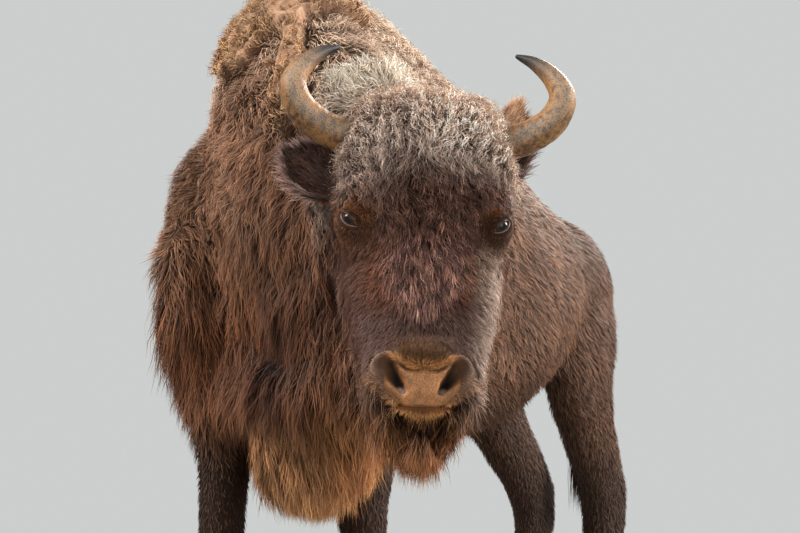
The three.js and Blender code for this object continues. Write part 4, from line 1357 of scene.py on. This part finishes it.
def grow(name, slot, members, steps, size, seed, low=0.0):
    """One piece of the coat: blades on every face whose main region is a member, in clumps of
    the given size, that end above the height low. Each blade's colours and numbers are the
    shares' mean at its root, and its place in the UV map is its root's on the skin."""
    random = np.random.default_rng(seed)
    wanted = np.isin(np.argmax(face_shares, axis=1), [ROWS[member] for member in members])
    number = np.floor(growing * wanted + random.random(len(faces))).astype(int)
    face = np.repeat(np.arange(len(faces)), number)
    count = len(face)
    u, v = random.random((2, count))
    over = u + v > 1
    u[over], v[over] = 1 - u[over], 1 - v[over]
    weight = np.stack([1 - u - v, u, v], axis=1)
    root, normal, seat = (np.einsum("ij,ijk->ik", weight, corners) for corners in (
        corner_points[face], normals[faces[face]], skin_uv[face]))
    normal = unit(normal)
    shares = region_weights(root, normal, face_kind[face])
    length, width, rise, fall, curl, _, clump, paling, spread = (shares @ NUMBERS).T
    lie = hair_lie(root, normal, face_kind[face], shares)
    root = root + (shares[:, ROWS["shed"]] * SHED_LIFT)[:, None] * normal

    length = length * random.uniform(0.7, 1.2, count) * (1 + 0.12 * cloud(root, 0.06))
    off_middle = np.abs(to_head(root)[:, 0]) / BEARD_HALF_WIDTH
    taper = np.clip(1.05 - 0.6 * off_middle ** 2, 0.3, 1) * random.uniform(0.7, 1.0, count)
    room = (root[:, 2] - low) * random.uniform(0.7, 0.98, count)
    length = np.minimum(length, np.maximum(room, SHORTEST))
    length = length * mix(1.0, taper, shares[:, ROWS["beard"]])
    corners = blades(root, normal, lie, length, width, rise, fall, curl, clump, size, steps, random)

    t = np.append(np.repeat(np.arange(steps) / steps, 2), 1.0)
    _, shift = clump_heart(root, size)
    uneven = np.clip(random.normal(size=count), -2, 1.5) + 3 * (shift[:, 0] - 0.5)
    bright = np.exp(spread * uneven + 0.15 * cloud(root, 0.10))
    base, tip = shares @ ROOT_TINT * ROOT_SHADE, shares @ TIP_TINT * bright[:, None]
    tint = mix(base[:, None], tip[:, None], (t[None] ** paling[:, None])[:, :, None])
    joined = blade_faces(count, steps)
    made = mesh_piece(name, corners.reshape(-1, 3), joined, np.clip(tint, 0, 1).reshape(-1, 3),
                      HAIR, slot)
    patch = np.stack([np.append(np.tile([-1.0, 1.0], steps), 0.0), 2 * t - 1], axis=1) * SEAT_HALF
    uv = np.clip(seat[:, None] + patch[None], 0, 1).reshape(-1, 2)
    layer = made.data.uv_layers.new(name="OFBake")
    layer.data.foreach_set("uv", uv[joined.ravel()].astype(np.float32).ravel())
    print(f"{name}: {count} blades, {len(joined)} triangles, {time.time() - started:.1f} s")
    return made


# %% [markdown]
# ## The old wool
#
# In spring the winter coat comes off in mats, and one still hangs on the right shoulder. It is
# felt more than hair: a sheet with a torn edge that rolls up. So it is a closed sheet made from a
# finer copy of the skin there, lifted by the mask of the patch and roughened by soft random
# patches. Blades of hair alone would look too loose, and a smooth lump too solid.

# %% The old wool
FELT_ZONE, FELT_BACK = (0.24, 0.26, 0.32), -0.3  # the skin that is copied: half axes, and y
FELT_EDGE = 0.004  # the least mask that still counts as wool
FELT_SUNK, FELT_HEIGHT, FELT_ROLL, FELT_ROUGH, FELT_UNDER = 0.004, 0.030, 0.008, 0.0035, 0.006
FELT_DARK, FELT_PALE = linear(124, 90, 66), linear(194, 152, 120)

zone = 1 - away(points, SHED_MIDDLE, FELT_ZONE)
used, felt_faces = patch_of(zone * (points[:, 1] < FELT_BACK), 0)
felt = np.concatenate([points[used], normals[used]], axis=1)
for _ in range(2):
    felt, felt_faces = refine(felt, felt_faces, np.ones(len(felt), bool))
torn = shed_mask(felt[:, :3])
used, felt_faces = np.unique(felt_faces[(torn[felt_faces] > FELT_EDGE).all(axis=1)],
                             return_inverse=True)
felt_faces = felt_faces.reshape(-1, 3)
felt, felt_normal, torn = felt[used, :3], unit(felt[used, 3:]), torn[used]
height = (mix(-FELT_SUNK, FELT_HEIGHT, ramp(torn, 0.05, 0.55)) + FELT_ROLL * bell(torn - 0.75, 0.22)
          + FELT_ROUGH * cloud(felt, 0.018) * torn)
pale = ramp(cloud(felt, 0.012) + 1.6 * bell(torn - 0.75, 0.25), -0.8, 2.2)
felt_sheet = two_sided(felt + height[:, None] * felt_normal, felt - FELT_UNDER * felt_normal,
                       felt_faces, mix(FELT_DARK, FELT_PALE, pale[:, None]))
mesh_piece("shed_wool", *felt_sheet, WOOL, "body_coat")
print("old wool:", len(felt_sheet[1]), "triangles")

# %% [markdown]
# ## The coat
#
# The coat is grown region by region, so that each piece stays small enough to be handled and has
# as many steps in its blades as it needs: two on the short coat of trunk and legs, five on beard,
# mane and tail, which hang and bend. Clumps are small in the face and large in the mane. The long
# hair stops at the height where the solid around it ends.

# %% The coat
grow("forehead_wool", "face_coat", ("wool",), 4, 0.009, 11)
grow("brow_curls", "face_coat", ("curls",), 4, 0.009, 26)
grow("face_hair", "face_coat", ("cheek", "ruddy", "jaw", "pale cheek"), 3, 0.007, 12)
grow("bridge_tuft", "face_coat", ("bridge",), 4, 0.008, 25)
grow("nose_and_lid_hair", "face_coat", ("lids", "brow", "dome", "lips", "nose", "wing"),
     2, 0.004, 13)
grow("ear_hair", "face_coat", ("ear back", "ear inside", "ear tip", "ear rim"), 3, 0.008, 14)
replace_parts(grow("beard_hair", "long_hair", ("beard",), 5, 0.013, 15, low=0.498), "beard")
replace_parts(grow("throat_mane", "long_hair", ("fold", "fringe"), 5, 0.026, 16, low=0.44), "mane")
grow("chest_hair", "long_hair", ("chest", "hollow"), 4, 0.022, 23)
grow("neck_coat", "body_coat", ("neck", "nape"), 4, 0.018, 17)
grow("shoulder_coat", "body_coat", ("shoulder",), 2, 0.012, 18)
grow("hump_coat", "body_coat", ("hump", "shed"), 3, 0.014, 24)
grow("trunk_coat", "body_coat", ("trunk", "belly"), 2, 0.015, 19)
grow("rump_coat", "body_coat", ("rump",), 2, 0.013, 20)
grow("leg_coat", "body_coat", ("leg",), 2, 0.010, 21)
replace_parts(grow("tail_hair", "long_hair", ("tail", "tuft"), 5, 0.022, 22, low=0.43), "tail_tuft")
print("coat done after", f"{time.time() - started:.1f} s")

# %% [markdown]
# ## The nose pad
#
# The pad of the nose is bare, grained leather between the nostrils. It is a thin copy of the
# skin there, lifted a fraction of a millimetre where it is bare and sunk under the skin at its
# edge. So it follows the nostrils and the lip exactly and can have a gloss of its own.

# %% Nose pad
PAD_SUNK, PAD_RAISED, PAD_THICK = 0.0012, 0.0009, 0.003
PAD_SIDE = linear(130, 84, 52)

mask = pad_mask(head_place) * body * ramp(nostril_distance(head_place), -0.005, 0.0)
used, chosen = patch_of(mask, 0.02)
pad_head = to_head(points[used])
lift = mix(-PAD_SUNK, PAD_RAISED, ramp(mask[used], 0.1, 0.9))
speckle = 1 + 0.12 * cloud(pad_head, 0.006)
pad_tint = np.tile(linear(*PAD_COLOUR), (len(used), 1)) * speckle[:, None]
pad_tint = mix(pad_tint, PAD_SIDE, ramp(np.abs(pad_head[:, 0]), 0.024, 0.04)[:, None] * 0.6)
pad_sheet = two_sided(points[used] + lift[:, None] * normals[used],
                      points[used] - PAD_THICK * normals[used], chosen, pad_tint)
pad = mesh_piece("nose_pad", *pad_sheet, LEATHER, "nose_pad")
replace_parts(pad, "muzzle")
print("nose pad:", len(chosen), "triangles in front")

# %% [markdown]
# ## Eyes
#
# A wisent's eye shows a dark brown iris, a pupil that lies across it, and almost no white. The
# eyeball is a ball with a slight bulge in front, and its colours lie in rings round the way it
# looks, so that they turn with it. A rim runs along each lid, dark above, and paler below, where
# its paleness is a painted highlight on moist skin. A picture of an eye on a plain ball would do
# for a toy.

# %% Eyes
EYE_TINTS = np.array([linear(3, 2, 2), linear(52, 30, 17), linear(16, 10, 7), linear(60, 44, 38)])
RIM_POINTS, RIM_AROUND, RIM_OUT, RIM_RADIUS = 60, 8, 0.0012, 0.0011
# the lower rim's pale colour is a painted highlight on the moist lid
UPPER_RIM, LOWER_RIM_HIGHLIGHT = linear(30, 20, 17), linear(128, 102, 92)


def eyeball(side, rows=48, around=64):
    """A ball R (cos a out + sin a (cos u along + sin u up)), its colours by the angle a: a black
    pupil twice as long as high, a brown iris with a dark ring, and a little of the white."""
    a = np.linspace(0.03, np.pi - 0.03, rows)[:, None]
    u = np.linspace(0, 2 * np.pi, around, endpoint=False)[None]
    bulge = 1 + 0.05 * np.exp(-(a / 0.5) ** 4)
    ring = (np.cos(a)[..., None] * EYE_OUT + (np.sin(a) * np.cos(u))[..., None] * EYE_ALONG
            + (np.sin(a) * np.sin(u))[..., None] * EYE_UP) * (bulge * EYE_RADIUS)[..., None]
    poles = np.stack([EYE_OUT * 1.05, -EYE_OUT]) * EYE_RADIUS
    ray = np.concatenate([ring.reshape(-1, 3), poles])
    along, up = ray @ EYE_ALONG / EYE_RADIUS, ray @ EYE_UP / EYE_RADIUS
    off = np.arccos(np.clip(ray @ EYE_OUT / np.linalg.norm(ray, axis=1), -1, 1))
    pupil, iris, ring_tint, white = EYE_TINTS
    tint = mix(pupil, iris, ramp(np.hypot(along, 2 * up), 0.36, 0.42)[:, None])
    tint = mix(tint, ring_tint, ramp(off, 0.68, 0.80)[:, None])
    tint = mix(tint, white, ramp(off, 0.86, 0.96)[:, None])
    place = ray + EYE_PLACE
    place[:, 0] *= SIDES[side]
    return from_head(place), closed_grid(rows, around), tint


def on_lid(along, across, radius):
    """The point of the left eye's shell at two angles, in the head frame: R (cos b (cos a out
    + sin a along) + sin b up)."""
    ray = (np.cos(across) * np.cos(along))[:, None] * EYE_OUT
    ray = ray + (np.cos(across) * np.sin(along))[:, None] * EYE_ALONG
    return EYE_PLACE + radius * (ray + np.sin(across)[:, None] * EYE_UP)


def lid_edge(along, lid, out):
    """Points on a lid's edge, a parabola in the two angles, so far out of the eyeball."""
    return on_lid(along, lid * (1 - (along / EYE_HALF_LENGTH) ** 2), EYE_RADIUS + out)


for side, sign in SIDES.items():
    place, joined, tint = eyeball(side)
    ball = mesh_piece(f"eyeball_{side}", place, outward(place, joined), tint, EYE, "eye")
    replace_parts(ball, f"eye_{side}")
    rims, rim_faces, rim_tints = [], [], []
    along = np.linspace(-1, 1, RIM_POINTS) * EYE_HALF_LENGTH
    for lid, colour in ((UPPER_LID, UPPER_RIM), (-LOWER_LID, LOWER_RIM_HIGHLIGHT)):
        line = from_head(lid_edge(along, lid, RIM_OUT) * (sign, 1, 1))
        place, joined = tube(line, np.full(RIM_POINTS, RIM_RADIUS), RIM_AROUND)
        rim_faces.append(outward(place, joined) + len(place) * len(rims))
        rims.append(place)
        rim_tints.append(np.tile(colour, (len(place), 1)))
    mesh_piece(f"lid_rim_{side}", np.concatenate(rims), np.concatenate(rim_faces),
               np.concatenate(rim_tints), LID, "eye")
    print(side, "eye:", len(ball.data.vertices), "points, two rims")

# %% [markdown]
# ## Eyelashes and whiskers
#
# Both are single stiff hairs that are seen one by one, so they are blades like the coat's, but
# thin, dark or pale all along, and rooted where the real ones are: the lashes on the edge of the
# upper lid, the whiskers round the lips and nostrils.

# %% Eyelashes
LASHES, LASH_STEPS, LASH_OUT, LASH_CLUMP = 90, 4, 0.0022, 0.005
LASH = (0.012, 0.0007, 0.9, 0.7, 0.0, 0.3)  # length, width, rise, fall, curl and clump pull
LASH_TINT = linear(30, 20, 16)

for side, sign in SIDES.items():
    random = np.random.default_rng(31)
    line = lid_edge(random.uniform(-0.85, 0.85, LASHES) * EYE_HALF_LENGTH, UPPER_LID, LASH_OUT)
    ray = unit(line - EYE_PLACE)
    flip = np.array([sign, 1.0, 1.0])
    root, normal = from_head(line * flip), unit((ray * flip) @ HEAD_AXES.T)
    lie = np.tile((EYE_UP * flip) @ HEAD_AXES.T, (LASHES, 1))
    lash = blades(root, normal, unit(flat_on(normal, lie)), *np.outer(LASH, np.ones(LASHES)),
                  LASH_CLUMP, LASH_STEPS, random).reshape(-1, 3)
    mesh_piece(f"lashes_{side}", lash, blade_faces(LASHES, LASH_STEPS),
               np.tile(LASH_TINT, (len(lash), 1)), HAIR, "face_coat")
print(LASHES, "lashes on each upper lid")

# %% Whiskers
WHISKERS, WHISKER_STEPS, WHISKER_CLUMP = 44, 5, 0.01
WHISKER_LENGTHS = 0.02, 0.05
WHISKER = (0.0005, 1.0, 0.25, 0.0, 0.0)  # width, rise, fall, curl and clump pull
WHISKER_TINT = linear(170, 140, 116)

side, back, up = mirrored(head_place).T
muzzle_side = (side > 0.040) & (up < -0.25) & (up > -0.325) & (back < 0.06)
muzzle_side &= (nostril_distance(head_place) > 0.008) & body
random = np.random.default_rng(41)
seat = random.choice(np.flatnonzero(muzzle_side), WHISKERS, replace=False)
outwards = unit(normals[seat] + np.array([0.0, 0.0, -0.5]))
length = random.uniform(*WHISKER_LENGTHS, WHISKERS)
whisker = blades(points[seat], normals[seat], unit(flat_on(normals[seat], outwards)), length,
                 *np.outer(WHISKER, np.ones(WHISKERS)), WHISKER_CLUMP, WHISKER_STEPS,
                 random).reshape(-1, 3)
mesh_piece("whiskers", whisker, blade_faces(WHISKERS, WHISKER_STEPS),
           np.tile(WHISKER_TINT, (len(whisker), 1)), HAIR, "face_coat")
print(WHISKERS, "whiskers up to", round(float(length.max()), 3), "long")

# %% [markdown]
# ## Horns
#
# A horn is a hollow sheath on a core of bone. It swings out, up and in again, with rings of
# growth near the root, brown and grainy there and smooth and black at the tip. A tube along a
# smooth curve gives that with one radius for each place, and the rings are a small wave on it.
# The curve starts inside the skull, so that no gap can show under the wool.

# %% Horns
HORN_LINE = np.array([
    (0.078, 0.042, 0.143), (0.118, 0.034, 0.150), (0.160, 0.026, 0.158), (0.203, 0.006, 0.180),
    (0.222, -0.006, 0.218), (0.210, -0.004, 0.256), (0.182, 0.006, 0.290), (0.150, 0.018, 0.312),
])
HORN_ROOT, HORN_TIP, HORN_RING = 0.0285, 0.003, 0.0004  # radii, and the height of the rings
HORN_ROWS, HORN_AROUND = 150, 40
HORN_LIGHT, HORN_DARK = linear(170, 124, 78), linear(104, 74, 50)
# HORN_TOP_HIGHLIGHT is a painted highlight along the top of the horn; HORN_FOOT is the colour at
# the root
HORN_TOP_HIGHLIGHT, HORN_FOOT = linear(196, 186, 172), linear(96, 84, 70)  # along the top, at the root
HORN_GREY, HORN_BLACK = linear(74, 64, 56), linear(26, 25, 27)  # before the tip, at the tip

# the first of the curve's seven stretches is inside the skull; free is 0 where it comes out
free = np.clip((np.linspace(0, 1, HORN_ROWS) - 1 / 7) * 7 / 6, 0, 1)
rings = fade(free, 0.15, 0.6) * (HORN_RING * np.sin(free * 85 + 2 * np.sin(free * 23)))
radius = mix(HORN_TIP, HORN_ROOT, (1 - free ** 1.9) ** 0.85) + rings
along = np.append(np.repeat(free, HORN_AROUND), [0.0, 1.0])
turn = np.linspace(0, 2 * np.pi, HORN_AROUND, endpoint=False)
top = np.append(np.tile(np.sin(turn), HORN_ROWS), [0, 0])
for side, sign in SIDES.items():
    line = curve_points(HORN_LINE, HORN_ROWS) * (sign, 1, 1)
    place, joined = tube(line, radius, HORN_AROUND, (0.0, 1.0, 0.15))
    streak = cloud(place * (1, 1, 0.7), 0.0045) + 0.6 * cloud(place, 0.02)
    tint = mix(HORN_LIGHT, HORN_DARK, ramp(streak, -0.8, 1.6)[:, None])
    # a painted highlight along the top of the horn
    tint = mix(tint, HORN_TOP_HIGHLIGHT, (ramp(top, 0.8, 1.0) * 0.35)[:, None])
    tint = mix(tint, HORN_GREY, ramp(along, 0.58, 0.90)[:, None])
    tint = mix(tint, HORN_BLACK, ramp(along, 0.78, 0.97)[:, None])
    tint = mix(HORN_FOOT, tint, ramp(along, 0.0, 0.14)[:, None])
    place = from_head(place)
    horn = mesh_piece(f"horn_sheath_{side}", place, outward(place, joined), tint, HORN, "horn")
    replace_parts(horn, f"horn_{side}")
    print(side, "horn ends at", place[-1].round(3))

# %% [markdown]
# ## Hooves
#
# Each foot stands on two main claws, with two small dewclaws behind. Their shape is simple and
# has to rest on the floor exactly, so it is the solids' own, and a bevel rounds the edges. New
# surfaces would look no better and might leave the floor.

# %% Hooves
HOOF_LOW, HOOF_HIGH = linear(34, 29, 27), linear(66, 56, 50)

for leg in ("foreleg_left", "foreleg_right", "hindleg_left", "hindleg_right"):
    names = [name for name in nodes if name.endswith(("outer", "inner")) and leg in name]
    place, joined = polygons(names)
    tint = mix(HOOF_LOW, HOOF_HIGH, ramp(place[:, 2], 0.0, 0.06)[:, None])
    hoof = mesh_piece(f"claws_{leg}", place, joined, tint, HOOF, "hoof")
    bevel = hoof.modifiers.new("round", "BEVEL")
    bevel.width, bevel.segments, bevel.limit_method = 0.003, 3, "ANGLE"
    bevel.angle_limit = math.radians(28)
    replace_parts(hoof, *names)
    print(leg, "has", len(names), "claws and dewclaws")

# %% [markdown]
# ## Light
#
# Four soft lamps: a broad key light from the front left, a weak fill from the right, and two
# behind, high up in the middle and to the right, which only catch the edges of the coat. Large
# lamps make soft shadows, and soft shadows keep the dark coat readable.

# %% Light
def lamp(name, place, target, size, power, tint=(1, 1, 1)):
    """A square area light at a place, turned so that it shines at the target."""
    light = bpy.data.lights.new(name, "AREA")
    light.size, light.energy, light.color = size, power, tint
    made = bpy.data.objects.new(name, light)
    made.location = place
    made.rotation_euler = (Vector(target) - Vector(place)).to_track_quat("-Z", "Y").to_euler()
    bpy.context.scene.collection.objects.link(made)


lamp("key", (-1.3, -3.6, 4.0), (0.1, -0.3, 0.9), 1.8, 245, (1.0, 0.97, 0.93))
lamp("fill", (4.6, -2.6, 1.6), (0.2, 0, 0.9), 2.5, 50)
lamp("edge", (0.2, 3.4, 4.2), (0.1, -0.5, 1.2), 1.6, 310, (1.0, 0.96, 0.91))
lamp("edge_right", (4.2, 2.7, 3.4), (0.2, -0.4, 1.0), 1.4, 430, (1.0, 0.97, 0.93))
print("lamps:", [made.name for made in bpy.data.lights])

# %% [markdown]
# ## Backdrop and floor
#
# The camera should see one even, pale ground and sky, but a sky that bright would wash the coat
# out. Light Path tells rays apart: those from the camera, and those that gloss throws back, see
# the pale backdrop, and all others get a weaker glow. The floor keeps the animal's shadow near
# it and turns into the backdrop's colour further off, so there is no horizon.

# %% Backdrop
BACKDROP, GLOW, GLOW_STRENGTH = (0.60, 0.62, 0.61, 1), (0.86, 0.88, 0.88, 1), 0.36


def math_node(tree, operation, first, second):
    """The output of a Math node on two values."""
    node = add_node(tree, "Math")
    node.operation = operation
    tree.links.new(first, node.inputs[0])
    tree.links.new(second, node.inputs[1])
    return node.outputs["Value"]


def background_rays(tree):
    """1 for rays from the camera and for those thrown back by gloss or passed through something,
    which all see the plain background; 0 for rays that only gather light."""
    path = add_node(tree, "LightPath")
    seen = path.outputs["Is Camera Ray"]
    for other in ("Is Glossy Ray", "Is Transmission Ray"):
        seen = math_node(tree, "MAXIMUM", seen, path.outputs[other])
    return seen


def either_shader(tree, share, first, second, output):
    """Ends a tree with a mixture of two shaders: the first where the share is 0."""
    choose = add_node(tree, "MixShader")
    tree.links.new(share, choose.inputs["Fac"])
    tree.links.new(first, choose.inputs[1])
    tree.links.new(second, choose.inputs[2])
    tree.links.new(choose.outputs["Shader"], tree.nodes[output].inputs["Surface"])


world = bpy.data.worlds.new("studio")
bpy.context.scene.world = world
world.use_nodes = True
tree = world.node_tree
glow = tree.nodes["Background"]
set_sockets(glow, Color=GLOW, Strength=GLOW_STRENGTH)
backdrop = add_node(tree, "Background", Color=BACKDROP, Strength=1.0)
either_shader(tree, background_rays(tree), glow.outputs["Background"],
              backdrop.outputs["Background"], "World Output")
print("backdrop", BACKDROP[:3], "and glow", GLOW_STRENGTH)

# %% Floor
FLOOR_HALF = 60.0
FLOOR_COLOUR = (0.25, 0.255, 0.25, 1)
FADE_START, FADE_END = 1.6, 5.5  # metres from the middle of the floor

floor_points = np.array([(-1, -1, 0), (1, -1, 0), (1, 1, 0), (-1, 1, 0)], float) * FLOOR_HALF
plain, tree, near = new_material("floor")
set_sockets(near, Base_Color=FLOOR_COLOUR, Roughness=0.9, Specular_IOR_Level=0.2)
far = add_node(tree, "Emission", Color=BACKDROP, Strength=1.0)
place = add_node(tree, "TexCoord")
distance = add_node(tree, "VectorMath")
distance.operation = "LENGTH"
tree.links.new(place.outputs["Object"], distance.inputs[0])
further = add_node(tree, "MapRange", From_Min=FADE_START, From_Max=FADE_END)
further.interpolation_type = "SMOOTHSTEP"
tree.links.new(distance.outputs["Value"], further.inputs["Value"])
share = math_node(tree, "MULTIPLY", further.outputs["Result"], background_rays(tree))
either_shader(tree, share, near.outputs["BSDF"], far.outputs["Emission"], "Material Output")
ground = bpy.data.meshes.new("floor")
ground.from_pydata(floor_points.tolist(), [], [(0, 1, 2, 3)])
ground.materials.append(plain)
floor = bpy.data.objects.new("floor", ground)
bpy.context.scene.collection.objects.link(floor)
floor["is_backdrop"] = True
bpy.context.scene.view_settings.view_transform = "Standard"
print("floor fades from", FADE_START, "to", FADE_END, "m")

# %% [markdown]
# ## Finish
#
# The box of the finished pieces is printed beside the box of the solids, so that the two can be
# compared.

# %% Finish
made_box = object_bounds()
print("cad box", cad_box, "visual box", made_box, f"{time.time() - started:.1f} s")
